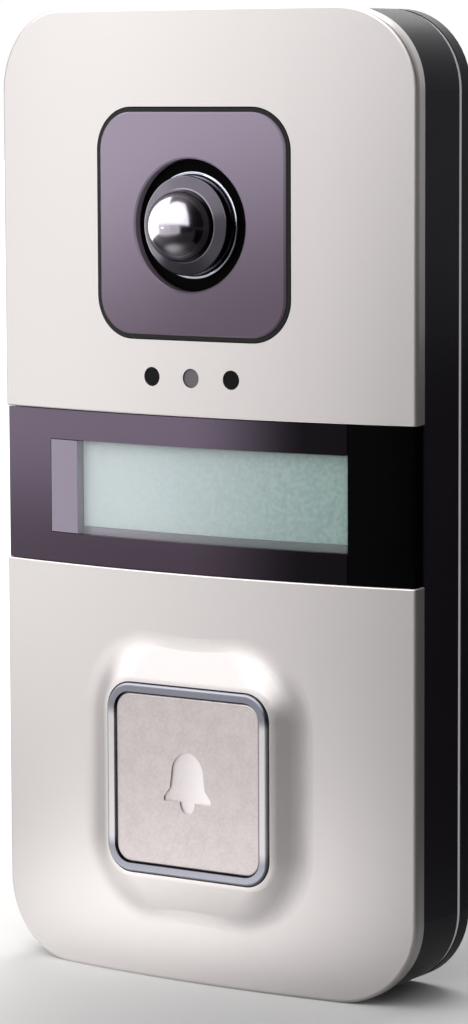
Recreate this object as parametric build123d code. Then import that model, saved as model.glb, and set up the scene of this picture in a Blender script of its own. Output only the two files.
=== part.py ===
from build123d import *
import math
import os

# Video door station: a slim panel that hangs on a wall, with a domed camera, a lit name
# label and a call button. Every piece is drawn lying on its back, with X to the right,
# Y up the wall and Z out from the wall, and is stood up as it is saved. Sizes are in mm.

# Outline and curved face
station_width = 90.0
station_height = 178.5
corner_radius = 15.0
face_rise = 4.2
rim_depth = 3.8
rim_lean = 0.5
rim_straight = 1.2
rim_thickness = 1.4
edge_round = 0.6
cut_edge_round = 0.3
plate_thickness = 1.8
plate_stud_radius = 1.5
stud_inset = 8.0
stud_band_gap = 8.5
stud_end_gap = 27.0

# Layers, counted outwards from the wall
wall_plate_thickness = 3.0
seal_thickness = 1.1
seal_inset = 0.2
seal_width = 4.0
housing_depth = 11.9
housing_wall = 2.6
housing_floor = 2.0
gasket_thickness = 0.6
gasket_width = 1.0
carrier_thickness = 1.4
board_gap = 2.4
board_thickness = 1.6
floor_rib_x = 11.0
floor_rib_width = 1.2
floor_rib_height = 0.8

# Clearances
seam = 0.15
slip = 0.2
running = 0.05
thread_gap = 0.02

# Wall fixing
wall_hole_radius = 2.3
wall_hole_sink = 4.3
wall_hole_spacing_x = 60.0
wall_hole_spacing_y = 130.0
hook_x = 22.0
hook_gap = 19.25
hook_width = 8.0
hook_stem = 2.0
hook_lift = 3.0
hook_thickness = 1.8
tab_width = 8.0
tab_thickness = 3.4
tab_length = 9.5
tab_gap = 8.25
lock_screw_depth = 9.0
lock_screw_radius = 1.5
lock_head_radius = 2.7
lock_head_height = 1.6

# Terminal bay in the rear of the housing
bay_width = 42.0
bay_rise = 1.3
bay_end_gap = 17.0
bay_wall = 1.5
bay_corner = 3.0
terminal_count = 4
terminal_pitch = 5.08
terminal_height = 8.0
terminal_length = 8.2
terminal_inset = 1.5
terminal_screw_radius = 1.7
terminal_screw_length = 1.8
terminal_screw_sink = 0.8
terminal_slot_width = 0.5
terminal_slot_depth = 0.6
wire_hole_radius = 1.5

# Black band across the front, its label window and the plain infill at its right end
band_height = 28.8
band_middle = 1.1
band_recess = 0.25
band_thickness = 1.6
label_width = 65.4
label_height = 17.6
infill_width = 13.1
label_tab_width = 6.7
label_ledge = 1.4
card_thickness = 0.4
guide_floor_gap = 0.2
tray_wall = 1.5
light_opening_ledge = 2.0
light_opening_corner = 2.0
backlight_count = 6
backlight_chip_height = 1.6
backlight_end_gap = 6.2

# Camera window, its gasket and the ring round the lens
window_width = 40.3
window_height = 40.3
window_drop = 2.0
window_corner = 7.0
window_chamfer = 0.3
window_thickness = 2.0
window_stand = 0.5
window_border = 0.75
window_border_stand = 0.05
window_ledge = 1.5
lens_drop = 0.2
trench_radius = 12.0
trench_depth = 1.4
trench_flange = 1.6
ring_outer_radius = 9.75
ring_width = 0.65
ring_rise = 0.6
ring_round = 0.25
surround_ledge = 1.3
surround_floor = 1.2
dome_sink = 0.6
dome_radius = 6.6
dome_wall = 1.2
dome_stand = 2.1
shoulder_stand = 1.5
shoulder_round = 0.35

# Camera that can be aimed behind the dome
pivot_depth = 17.0
pin_radius = 0.9
barrel_radius = 3.5
barrel_tip_radius = 2.6
barrel_tip_length = 3.4
barrel_taper = 0.6
barrel_front = 26.0
barrel_rim = 0.5
glass_seat_width = 0.4
glass_seat_depth = 0.5
front_lens_rise = 0.5
holder_wall = 1.5
holder_front = 3.0
holder_back = 4.0
holder_flange = 1.0
sensor_board_size = 12.0
sensor_board_corner = 1.0
sensor_board_thickness = 1.0
sensor_chip_width = 4.6
sensor_chip_height = 4.0
sensor_chip_rise = 0.7
sensor_plug_width = 8.0
sensor_plug_height = 3.0
sensor_plug_rise = 1.2
yoke_wall = 2.0
yoke_depth = 3.2
yoke_gap_x = 1.8
yoke_gap_y = 0.8
bracket_pin_wall = 2.8
bracket_side_wall = 1.8
bracket_gap = 1.7
bracket_ear = 4.8
bracket_ear_height = 8.0
bracket_ear_thickness = 1.2
bracket_corner = 2.0

# Lights and sensor above the band
eye_gap = 7.05
eye_spacing = 8.65
eye_hole_radius = 1.75
eye_collar = 1.0
eye_sink = 0.3
led_chip_size = 3.0
led_chip_height = 1.2
light_sensor_width = 2.0
light_sensor_height = 2.4
light_sensor_rise = 0.8

# Call button
button_drop = 0.3
button_frame_size = 35.3
button_frame_width = 1.6
button_frame_corner = 5.0
button_frame_round = 0.55
button_frame_flange = 1.4
button_frame_reach = 1.5
boss_rise = 1.8
boss_margin = 0.5
boss_side_slope = 30.0
boss_end_slope = 14.0
boss_foot_round = 10.0
boss_crest_round = 4.0
boss_foot_corner = 16.0
frame_stand = 0.5
cap_thickness = 1.6
cap_drop = 0.4
cap_gap = 0.25
cap_flange = 0.7
cap_flange_thickness = 1.2
cap_edge_round = 0.4
stem_radius = 2.5
bumper_thickness = 1.2
bumper_width = 2.5
bumper_corner = 2.0
button_travel = 0.6
guide_spacing = 22.0
guide_radius = 1.5
guide_collar_wall = 1.2
guide_collar_rise = 1.6
switch_size = 6.0
switch_height = 3.5
plunger_radius = 1.6
plunger_length = 1.4
bell_depth = 0.35
bell_height = 9.4
bell_rise = 1.1
bell_shoulder = 2.5
bell_shoulder_rise = 3.3
bell_waist = 3.5
bell_waist_rise = 0.55
bell_hip = 3.9
bell_hip_drop = 2.25
bell_lip = 5.2
bell_lip_drop = 3.95
clapper_half_width = 1.65
clapper_drop = 2.2

# Speaker and microphone at the lower end
speaker_height = 15.6
speaker_depth = 5.0
speaker_side_gap = 0.7
speaker_lock_gap = 1.5
speaker_end_gap = 5.75
speaker_corner = 2.5
speaker_rim = 1.5
speaker_back_wall = 1.5
speaker_seal = 1.0
cone_drop = 1.4
cone_thickness = 0.6
cone_dome_radius = 4.2
magnet_radius = 4.0
fence_wall = 0.8
fence_corner = 3.0
chamber_wall = 1.2
slot_count = 5
slot_width = 1.6
slot_length = 2.6
microphone_inset = 25.0
microphone_radius = 3.0
microphone_length = 2.7
boot_wall = 1.5
microphone_hole_radius = 0.75

# Screws
post_radius = 3.5
post_inset_x = 9.0
post_inset_y = 13.25
housing_screw_radius = 1.2
housing_screw_head = 2.6
housing_screw_gap = 2.0
housing_cross_width = 0.6
housing_cross_depth = 0.7
board_screw_radius = 1.0
board_screw_head = 1.8
board_screw_head_height = 1.4
board_screw_grip = 0.6
board_post_wall = 1.0
bracket_screw_length = 4.0
bracket_post_wall = 0.4
bracket_post_length = 3.2
cross_width = 0.5
cross_length = 2.2
cross_depth = 0.8
lock_socket_radius = 1.2
lock_socket_depth = 0.9
lock_socket_sides = 6

# Main board, with the larger parts on its rear
board_side_gap = 9.0
board_top_gap = 9.35
board_bottom_gap = 26.25
board_corner = 2.0
board_inset = 4.5
shield_width = 24.0
shield_height = 22.0
shield_rise = 3.2
shield_corner = 1.0
shield_inset = 18.0
shield_drop = 22.0
relay_width = 10.0
relay_height = 15.0
relay_rise = 5.4
relay_inset = 22.0
relay_y = 1.0
capacitor_count = 3
capacitor_radius = 3.15
capacitor_rise = 5.4
capacitor_pitch = 8.0
capacitor_inset = 17.0
capacitor_drop = 12.0
choke_size = 11.0
choke_base = 1.0
choke_radius = 5.0
choke_rise = 4.8
choke_inset = 7.5
choke_y = 1.0
socket_width = 8.0
socket_height = 4.4
socket_rise = 3.6
socket_wall = 0.8
socket_inset = 20.0
socket_end_gap = 8.0
camera_socket_x = -8.0
camera_socket_drop = 5.0

housing_back = wall_plate_thickness + seal_thickness
housing_front = housing_back + housing_depth
floor_front = housing_back + housing_floor
face_edge = housing_front + rim_depth
face_centre = face_edge + face_rise
face_radius = (station_width**2 / 4 + face_rise**2) / (2 * face_rise)
carrier_back = housing_front + gasket_thickness
carrier_front = carrier_back + carrier_thickness
board_front = carrier_back - board_gap
board_back = board_front - board_thickness
housing_width = station_width - 2 * rim_lean
housing_height = station_height - 2 * rim_lean
housing_corner = corner_radius - rim_lean
rim_inner_width = housing_width - 2 * rim_thickness
rim_inner_height = housing_height - 2 * rim_thickness
rim_inner_corner = housing_corner - rim_thickness
carrier_width = rim_inner_width - 2 * slip
carrier_height = rim_inner_height - 2 * slip
carrier_corner = rim_inner_corner - slip
inner_width = housing_width - 2 * housing_wall
inner_height = housing_height - 2 * housing_wall
inner_corner = housing_corner - housing_wall
lower_wall_outer = -housing_height / 2
lower_wall_inner = -inner_height / 2
band_top = band_middle + band_height / 2
band_bottom = band_middle - band_height / 2
label_right = station_width / 2 - infill_width
label_left = label_right - label_width
label_centre = (label_left + label_right) / 2
window_middle = (band_top + station_height / 2) / 2 - window_drop
lens_height = window_middle - lens_drop
eye_height = band_top + eye_gap
button_height = (band_bottom - station_height / 2) / 2 - button_drop
hook_top = station_height / 2 - hook_gap
tab_middle = tab_gap - station_height / 2
post_x = station_width / 2 - post_inset_x
post_y = station_height / 2 - post_inset_y
stud_x = station_width / 2 - stud_inset
stud_end = station_height / 2 - stud_end_gap
lock_pocket_width = tab_width + 4 * slip + 2 * bay_wall
speaker_left = post_radius + speaker_side_gap - post_x
speaker_right = -lock_pocket_width / 2 - speaker_lock_gap
speaker_width = speaker_right - speaker_left
speaker_x = (speaker_left + speaker_right) / 2
slot_pitch = (speaker_width - 2 * speaker_rim) / slot_count
speaker_y = lower_wall_inner + speaker_end_gap + speaker_height / 2
microphone_x = station_width / 2 - microphone_inset
board_width = station_width - 2 * board_side_gap
board_bottom = board_bottom_gap - station_height / 2
bay_top = band_bottom + bay_rise
bay_bottom = board_bottom + bay_end_gap
bay_height = bay_top - bay_bottom
bay_middle = (bay_top + bay_bottom) / 2
cut_margin = 5.0


def slab(width, height, radius, low, high, x=0.0, y=0.0):
    """Block with rounded corners between two depths."""
    return Pos(x, y, low) * extrude(RectangleRounded(width, height, radius), high - low)


def block(width, height, low, high, x=0.0, y=0.0):
    """Square-cornered block between two depths."""
    return Pos(x, y, low) * extrude(Rectangle(width, height), high - low)


def rod(radius, low, high, x=0.0, y=0.0):
    """Round rod between two depths."""
    return Pos(x, y, low) * extrude(Circle(radius), high - low)


def rod_up(radius, low, high, x, depth):
    """Round rod that runs up the wall."""
    return Pos(x, (low + high) / 2, depth) * Rot(90, 0, 0) * Cylinder(radius, high - low)


def rod_across(radius, low, high, y, depth):
    """Round rod that runs across the wall."""
    return Pos((low + high) / 2, y, depth) * Rot(0, 90, 0) * Cylinder(radius, high - low)


def cone(low_radius, high_radius, low, high, x=0.0, y=0.0):
    """Round taper between two depths."""
    middle = (low + high) / 2
    return Pos(x, y, middle) * Cone(low_radius, high_radius, high - low)


def turned(points, x=0.0, y=0.0):
    """Solid turned about the axis out of the wall, from its radius and depth points."""
    profile = make_face(Plane.XZ * Polyline(*points, close=True))
    return Pos(x, y, 0) * revolve(profile, Axis.Z)


def zone(low, high):
    """Everything between two heights up the wall."""
    wide = station_width + 2 * cut_margin
    return block(wide, high - low, -cut_margin, 2 * face_centre, 0, (low + high) / 2)


def under_face(offset):
    """Everything behind the curved face when that is moved back by an offset."""
    drum = Cylinder(face_radius - offset, station_height + 2 * cut_margin)
    return Pos(0, 0, face_centre - face_radius) * Rot(90, 0, 0) * drum


def front_form(inset):
    """Outer form of the front, from the housing's rim to the curved face."""
    rear = RectangleRounded(housing_width - 2 * inset, housing_height - 2 * inset, housing_corner - inset)
    edge = RectangleRounded(station_width - 2 * inset, station_height - 2 * inset, corner_radius - inset)
    lean_top = face_edge - rim_straight
    lean = loft([Pos(0, 0, housing_front) * rear, Pos(0, 0, lean_top) * edge], ruled=True)
    crown = Pos(0, 0, lean_top) * extrude(edge, face_centre - lean_top + 1)
    form = (lean + crown) & under_face(inset)
    face = form.faces().filter_by(GeomType.CYLINDER).sort_by(SortBy.AREA)[-1]
    return fillet(face.edges(), edge_round)


def front_hollow(thickness):
    """Space behind the front plates, inside their rim."""
    cavity = slab(rim_inner_width, rim_inner_height, rim_inner_corner, housing_front - 1, face_centre)
    return cavity & under_face(thickness)


def at_corners(half_x, half_y):
    """Four places, symmetrical about the middle."""
    return [(x, y) for x in (-half_x, half_x) for y in (-half_y, half_y)]


def upper_studs():
    """Places of the studs that hold the upper plate to the carrier."""
    return [(x, y) for x in (-stud_x, stud_x) for y in (band_top + stud_band_gap, stud_end)]


def lower_studs():
    """Places of the studs that hold the lower plate to the carrier."""
    return [(x, y) for x in (-stud_x, stud_x) for y in (band_bottom - stud_band_gap, -stud_end)]


def board_screw_places():
    """Places of the screws that hold the main board."""
    x = board_width / 2 - board_inset
    rows = (board_bottom + board_inset, board_top() - board_inset)
    return [(side * x, y) for side in (-1, 1) for y in rows]


def bracket_screw_places():
    """Places of the screws that hold the camera bracket."""
    x = bracket_half_width() + bracket_ear / 2
    return [(-x, lens_height), (x, lens_height)]


def holder_radius():
    return barrel_radius + holder_wall


def yoke_half_width():
    return holder_radius() + yoke_gap_x + yoke_wall


def yoke_half_height():
    return holder_radius() + yoke_gap_y + yoke_wall


def bracket_half_width():
    return yoke_half_width() + bracket_gap + bracket_side_wall


def bracket_half_height():
    return yoke_half_height() + slip + bracket_pin_wall


def board_top():
    """Height of the main board's top edge, below the camera bracket."""
    return lens_height - bracket_half_height() - board_top_gap


def wall_plate():
    """Plate that is screwed to the wall, with hooks at the top and a locking tab at the bottom."""
    plate = slab(housing_width, housing_height, housing_corner, 0, wall_plate_thickness)
    plate -= slab(bay_width, bay_height, bay_corner, -1, wall_plate_thickness + 1, 0, bay_middle)
    for x, y in at_corners(wall_hole_spacing_x / 2, wall_hole_spacing_y / 2):
        plate -= rod(wall_hole_radius, -1, wall_plate_thickness + 1, x, y)
        sink_back = wall_plate_thickness - (wall_hole_sink - wall_hole_radius)
        plate -= cone(wall_hole_radius, wall_hole_sink, sink_back, wall_plate_thickness, x, y)
    for x in (-hook_x, hook_x):
        lip_back = floor_front + slip
        lip_front = lip_back + hook_thickness
        stem_middle = hook_top - hook_stem / 2
        plate += block(hook_width, hook_stem, wall_plate_thickness, lip_front, x, stem_middle)
        lip_height = hook_stem + hook_lift
        lip_middle = hook_top - hook_stem + lip_height / 2
        plate += block(hook_width, lip_height, lip_back, lip_front, x, lip_middle)
    tab_front = wall_plate_thickness + tab_length
    tab = block(tab_width, tab_thickness, wall_plate_thickness, tab_front, 0, tab_middle)
    low = tab_middle - tab_thickness
    high = tab_middle + tab_thickness
    tab -= rod_up(lock_screw_radius + thread_gap, low, high, 0, lock_screw_depth)
    return plate + tab


def rear_seal():
    """Soft ring between the wall plate and the housing."""
    width = housing_width - 2 * seal_inset
    height = housing_height - 2 * seal_inset
    corner = housing_corner - seal_inset
    ring = slab(width, height, corner, wall_plate_thickness, housing_back)
    hole_width = width - 2 * seal_width
    hole_height = height - 2 * seal_width
    return ring - slab(hole_width, hole_height, corner - seal_width, 0, housing_back + 1)


def rear_housing():
    """Tray that holds the works, with its terminal bay, slots, sound slots and screw seats."""
    tub = slab(housing_width, housing_height, housing_corner, housing_back, housing_front)
    tub -= slab(inner_width, inner_height, inner_corner, floor_front, housing_front + 1)
    skirt_width = bay_width + 2 * bay_wall
    skirt_height = bay_height + 2 * bay_wall
    skirt_front = board_back - slip
    tub += slab(skirt_width, skirt_height, bay_corner + bay_wall, housing_back, skirt_front, 0, bay_middle)
    tub -= slab(bay_width, bay_height, bay_corner, 0, skirt_front + 1, 0, bay_middle)
    for x in (-hook_x, hook_x):
        slot_height = hook_stem + hook_lift + 2 * slip
        slot_top = hook_top + slip / 2
        slot_middle = slot_top - slot_height / 2
        tub -= block(hook_width + 4 * slip, slot_height, 0, floor_front + 1, x, slot_middle)
    tub = tub + lock_pocket()
    tub -= lock_cut()
    for x, y in at_corners(post_x, post_y):
        tub -= rod(housing_screw_radius + slip, 0, floor_front + 1, x, y)
        sink_front = housing_back + housing_screw_head - housing_screw_radius
        tub -= cone(housing_screw_head, housing_screw_radius, housing_back, sink_front, x, y)
    for number in range(slot_count):
        x = speaker_x + (number - (slot_count - 1) / 2) * slot_pitch
        depth = (speaker_front() + housing_front) / 2
        cut = Box(slot_width, 4 * housing_wall, slot_length)
        tub -= Pos(x, lower_wall_outer, depth) * cut
    low = lower_wall_outer - 1
    high = lower_wall_inner + 1
    tub -= rod_up(microphone_hole_radius, low, high, microphone_x, microphone_depth())
    return tub + microphone_cradle() + speaker_fence() + floor_ribs()


def lock_pocket():
    """Walls round the place where the locking tab reaches in."""
    pocket_top = tab_middle + tab_thickness / 2 + slip
    height = pocket_top + bay_wall - lower_wall_inner + 1
    front = wall_plate_thickness + tab_length + 1
    return block(lock_pocket_width, height, housing_back, front, 0, pocket_top + bay_wall - height / 2)


def lock_cut():
    """Slot for the locking tab, the locking screw's hole and the seat of its head."""
    pocket_top = tab_middle + tab_thickness / 2 + slip
    height = pocket_top - lower_wall_inner
    front = wall_plate_thickness + tab_length + 2
    cut = block(tab_width + 4 * slip, height, 0, front, 0, (pocket_top + lower_wall_inner) / 2)
    hole_radius = lock_screw_radius + slip
    cut += rod_up(hole_radius, lower_wall_outer - 1, lower_wall_inner + 1, 0, lock_screw_depth)
    seat_top = lower_wall_outer + lock_head_height + slip
    cut += rod_up(lock_head_radius + 2 * slip, lower_wall_outer - 1, seat_top, 0, lock_screw_depth)
    return cut


def microphone_depth():
    """Depth of the microphone's axis, half way up the housing's wall."""
    return (floor_front + housing_front) / 2


def microphone_cradle():
    """Fork on the housing's floor that holds the microphone's boot."""
    boot_radius = microphone_radius + boot_wall
    width = 2 * (boot_radius + bay_wall)
    depth = microphone_depth()
    low = lower_wall_inner + boot_wall
    fork = block(width, 2 * bay_wall, floor_front, depth, microphone_x, low + bay_wall)
    return fork - rod_up(boot_radius + thread_gap, low - 1, low + 4 * bay_wall, microphone_x, depth)


def speaker_back():
    return floor_front + slip


def speaker_front():
    return speaker_back() + speaker_depth


def speaker_fence():
    """Low wall on the housing's floor that locates the speaker."""
    width = speaker_width + 2 * slip
    height = speaker_height + 2 * slip
    front = speaker_back() + speaker_depth / 2
    outer_width = width + 2 * fence_wall
    outer_height = height + 2 * fence_wall
    fence = block(outer_width, outer_height, floor_front, front, speaker_x, speaker_y)
    fence -= block(width, height, 0, front + 1, speaker_x, speaker_y)
    fence -= block(width - 2 * fence_corner, outer_height + 1, 0, front + 1, speaker_x, speaker_y)
    return fence - block(outer_width + 1, height - 2 * fence_corner, 0, front + 1, speaker_x, speaker_y)


def floor_ribs():
    """Two low ribs that stiffen the housing's floor above the bay."""
    low = bay_top + bay_wall
    length = inner_height / 2 - low + 1
    rib_front = floor_front + floor_rib_height
    ribs = Part()
    for x in (-floor_rib_x, floor_rib_x):
        ribs += block(floor_rib_width, length, floor_front, rib_front, x, low + length / 2)
    return ribs


def front_gasket():
    """Flat ring that seals the carrier on the housing's rim."""
    ring = slab(carrier_width, carrier_height, carrier_corner, housing_front, carrier_back)
    hole_width = carrier_width - 2 * gasket_width
    hole_height = carrier_height - 2 * gasket_width
    corner = carrier_corner - gasket_width
    return ring - slab(hole_width, hole_height, corner, housing_front - 1, carrier_back + 1)


def window_opening():
    """Width, height and corner of the opening that the camera window's gasket fills."""
    width = window_width + 2 * window_border
    height = window_height + 2 * window_border
    return (width, height, window_corner + window_border)


def front_carrier():
    """Inner frame that carries the front plates, the window, the label, the button and the board."""
    frame = slab(carrier_width, carrier_height, carrier_corner, carrier_back, carrier_front)
    for x, y in at_corners(post_x, post_y):
        frame += rod(post_radius, floor_front + slip, carrier_back, x, y)
    for x, y in board_screw_places():
        frame += rod(board_screw_head + board_post_wall, board_front, carrier_back, x, y)
    for x, y in bracket_screw_places():
        post_back = carrier_back - bracket_post_length
        frame += rod(board_screw_head + bracket_post_wall, post_back, carrier_back, x, y)
    frame += window_wall()
    frame += button_wall()
    for x, y in guide_places():
        frame += rod(guide_radius + guide_collar_wall, carrier_back, guide_top(), x, y)
    frame += speaker_chamber()
    for x, y in at_corners(post_x, post_y):
        frame -= rod(housing_screw_radius + thread_gap, 0, carrier_back, x, y)
    for x, y in board_screw_places():
        frame -= rod(board_screw_radius + thread_gap, board_front - 1, board_screw_front() + slip, x, y)
    for x, y in bracket_screw_places():
        frame -= rod(board_screw_radius + thread_gap, 0, carrier_front + 1, x, y)
    for x, y in upper_studs() + lower_studs():
        frame -= rod(plate_stud_radius + slip / 2, 0, carrier_front + 1, x, y)
    for x, y in eye_places():
        frame -= rod(eye_hole_radius, 0, carrier_front + 1, x, y)
    for x, y in guide_places():
        frame -= rod(guide_radius + running, 0, face_centre, x, y)
    open_width = 2 * bracket_half_width() + 2 * slip
    open_height = 2 * bracket_half_height() + 2 * slip
    frame -= slab(open_width, open_height, bracket_corner, 0, carrier_front + 1, 0, lens_height)
    switch_hole = switch_size + 4 * slip
    frame -= block(switch_hole, switch_hole, 0, carrier_front + 1, 0, button_height)
    light_width = label_width - 2 * label_tab_width
    light_height = label_height - 2 * light_opening_ledge
    opening = slab(light_width, light_height, light_opening_corner, 0, carrier_front + 1)
    return frame - Pos(label_centre, band_middle, 0) * opening


def window_wall():
    """Rectangular wall on the carrier that the camera window and its gasket rest on."""
    width, height, corner = window_opening()
    wall = slab(width - slip, height - slip, corner, carrier_front, face_centre, 0, window_middle)
    inner_width = window_width - 2 * window_ledge
    inner_height = window_height - 2 * window_ledge
    inner_corner = window_corner - window_ledge
    wall -= slab(inner_width, inner_height, inner_corner, 0, face_centre + 1, 0, window_middle)
    return wall & under_face(window_thickness + 2 * slip)


def button_wall():
    """Square wall on the carrier that backs the button frame's flange, and a ledge for the bumper."""
    outer = frame_flange_size()
    corner = frame_flange_corner()
    wall = slab(outer, outer, corner, carrier_front, flange_back(), 0, button_height)
    inner = button_frame_size + slip
    wall -= slab(inner, inner, button_frame_corner, bumper_seat(), face_centre, 0, button_height)
    inner = bumper_size() - 2 * bumper_width
    return wall - slab(inner, inner, bumper_corner, 0, face_centre, 0, button_height)


def speaker_chamber():
    """Walls behind the carrier that lead the sound down to the slots."""
    low = speaker_front() + speaker_seal
    side = (speaker_width - chamber_wall) / 2
    end = (speaker_height - chamber_wall) / 2
    walls = block(speaker_width, chamber_wall, low, carrier_back, speaker_x, speaker_y + end)
    for x in (speaker_x - side, speaker_x + side):
        walls += block(chamber_wall, speaker_height, low, carrier_back, x, speaker_y)
    return walls


def eye_places():
    """Places of the two lights and, between them, the light sensor."""
    return [(number * eye_spacing, eye_height) for number in (-1, 0, 1)]


def eased_cut(form, height):
    """The form with the edges of its flat end towards the band rounded, all but the hidden rear one."""
    end = form.faces().filter_by(Axis.Y).sort_by(lambda face: abs(face.center().Y - height))[0]
    edges = end.edges().sort_by(Axis.Z)[1:]
    return fillet(edges, cut_edge_round)


def plate_stud(x, y):
    """Stud on the back of a silver plate that is pressed into the carrier."""
    stud = rod(plate_stud_radius, carrier_back - slip, face_centre, x, y)
    return stud & under_face(plate_thickness / 2)


def upper_front_plate():
    """Silver plate above the band, with the camera opening and the three eye holes."""
    form = front_form(0.0) & zone(band_top, station_height)
    plate = eased_cut(form, band_top) - front_hollow(plate_thickness)
    width, height, corner = window_opening()
    width += 2 * slip
    height += 2 * slip
    plate -= slab(width, height, corner + slip, 0, 2 * face_centre, 0, window_middle)
    for x, y in eye_places():
        plate -= rod(eye_hole_radius, 0, 2 * face_centre, x, y)
    for x, y in upper_studs():
        plate += plate_stud(x, y)
    return plate


def boss_top():
    """Depth of the flat top of the boss round the button."""
    return face_centre + boss_rise


def boss_hill():
    """Hill with sloping sides, before its foot and its crest are rounded."""
    top_size = button_frame_size + 2 * boss_margin
    reach = top_size / 2 + boss_foot_round
    drop = boss_rise + reach**2 / (2 * face_radius)
    run_side = drop / math.tan(math.radians(boss_side_slope))
    run_end = drop / math.tan(math.radians(boss_end_slope))
    crest_corner = button_frame_corner + boss_margin
    root_width = top_size + 2 * run_side
    root_height = top_size + 2 * run_end
    root = RectangleRounded(root_width, root_height, crest_corner + boss_foot_corner)
    crest = RectangleRounded(top_size, top_size, crest_corner)
    low = boss_top() - drop
    hill = loft([Pos(0, 0, low) * root, Pos(0, 0, boss_top()) * crest], ruled=True)
    return Pos(0, button_height, 0) * hill


def bossed_form():
    """Outer form of the front with the boss swelling smoothly out of it round the button."""
    form = front_form(0.0) + boss_hill()
    face = form.faces().filter_by(GeomType.CYLINDER).sort_by(SortBy.AREA)[-1]
    form = fillet(face.inner_wires()[0].edges(), boss_foot_round)
    crest = form.faces().filter_by(Axis.Z).sort_by(Axis.Z)[-1]
    return fillet(crest.outer_wire().edges(), boss_crest_round)


def lower_front_plate():
    """Silver plate below the band, with the boss and the button's opening."""
    form = bossed_form() & zone(-station_height, band_bottom)
    plate = eased_cut(form, band_bottom) - front_hollow(plate_thickness)
    pocket = frame_flange_size() + 2 * slip
    plate -= slab(pocket, pocket, frame_flange_corner(), 0, flange_front() + slip, 0, button_height)
    opening = button_frame_size + 2 * slip
    plate -= slab(opening, opening, button_frame_corner + slip, 0, 2 * face_centre, 0, button_height)
    for x, y in lower_studs():
        plate += plate_stud(x, y)
    return plate


def band_shell():
    """Shell of the black band over the full width, a little lower than the silver plates."""
    shell = front_form(band_recess) - front_hollow(band_recess + band_thickness)
    return shell & zone(band_bottom + seam, band_top - seam)


def label_cover():
    """Smoked cover of the band, with the opening for the label window."""
    end = label_right - seam / 2
    cover = band_shell() & block(station_width, station_height, 0, 2 * face_centre, end - station_width / 2)
    opening_width = label_width + cut_margin
    x = label_left + opening_width / 2
    return cover - block(opening_width, label_height, 0, 2 * face_centre, x, band_middle)


def band_infill():
    """Plain black piece at the right end of the band."""
    end = label_right + seam / 2
    return band_shell() & block(station_width, station_height, 0, 2 * face_centre, end + station_width / 2)


def curved_sheet(width, height, near, far, x, y):
    """Sheet that follows the curved face between two offsets behind it."""
    sheet = block(width, height, carrier_front, 2 * face_centre, x, y)
    return (sheet & under_face(near)) - under_face(far)


def label_window():
    """Clear pane over the name card."""
    left = label_left + label_tab_width + seam
    right = label_right - seam
    height = label_height - 2 * seam
    far = band_recess + band_thickness
    return curved_sheet(right - left, height, band_recess, far, (left + right) / 2, band_middle)


def card_back_offset():
    """How far behind the face the back of the name card lies."""
    return band_recess + band_thickness + slip + card_thickness


def name_card():
    """Paper name card, bent to the curve of the front."""
    width = label_width - label_tab_width - seam
    height = label_height - label_ledge - seam
    x = label_right - width / 2
    y = band_middle + label_ledge / 2
    far = card_back_offset()
    return curved_sheet(width, height, far - card_thickness, far, x, y)


def label_tray():
    """Holder for the card and the light guide, with the finger tab at its left and a ledge below."""
    outer_width = label_width + 2 * tray_wall
    outer_height = label_height + 2 * tray_wall
    far = card_back_offset()
    near = far - card_thickness
    frame = block(outer_width, outer_height, carrier_front, 2 * face_centre, label_centre, band_middle)
    frame &= under_face(near)
    frame -= block(label_width, label_height, 0, 2 * face_centre, label_centre, band_middle)
    tab_x = label_left + label_tab_width / 2
    frame += curved_sheet(label_tab_width, label_height, near, far, tab_x, band_middle)
    finger_width = label_tab_width - seam
    finger_height = label_height - 2 * seam
    frame += curved_sheet(finger_width, finger_height, band_recess, far, tab_x + seam / 2, band_middle)
    ledge_y = band_middle - label_height / 2 + label_ledge / 2
    return frame + curved_sheet(label_width, label_ledge, near, far, label_centre, ledge_y)


def light_guide():
    """Clear block that spreads the back light behind the name card."""
    width = label_width - 2 * slip
    height = label_height - 2 * slip
    low = carrier_front + guide_floor_gap
    guide = block(width, height, low, 2 * face_centre, label_centre, band_middle)
    return guide & under_face(card_back_offset() + slip)


def backlight_leds():
    """Row of chips on the main board that light the label."""
    chips = Part()
    pitch = (label_width - label_tab_width - 2 * backlight_end_gap) / backlight_count
    for number in range(backlight_count):
        x = label_centre + (number - (backlight_count - 1) / 2) * pitch
        front = board_front + led_chip_height
        chips += block(led_chip_size, backlight_chip_height, board_front, front, x, band_middle)
    return chips


def camera_window():
    """Tinted window with the round hole for the lens surround."""
    pane = slab(window_width, window_height, window_corner, carrier_front, 2 * face_centre, 0, window_middle)
    pane = (pane & under_face(-window_stand)) - under_face(window_thickness)
    pane -= rod(trench_radius, 0, 2 * face_centre, 0, lens_height)
    curved = pane.faces().filter_by(GeomType.CYLINDER).sort_by(SortBy.AREA)[-2:]
    return chamfer(curved.sort_by(Axis.Z)[-1].edges(), window_chamfer)


def window_gasket():
    """Black frame between the window and the silver plate."""
    width, height, corner = window_opening()
    frame = slab(width, height, corner, carrier_front, 2 * face_centre, 0, window_middle)
    inner_width = window_width + seam
    inner_height = window_height + seam
    inner_corner = window_corner + seam / 2
    frame -= slab(inner_width, inner_height, inner_corner, 0, 2 * face_centre, 0, window_middle)
    return (frame & under_face(-window_border_stand)) - under_face(window_thickness)


def trench_floor():
    """Depth of the floor of the trench round the lens ring."""
    return face_centre - trench_depth


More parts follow.
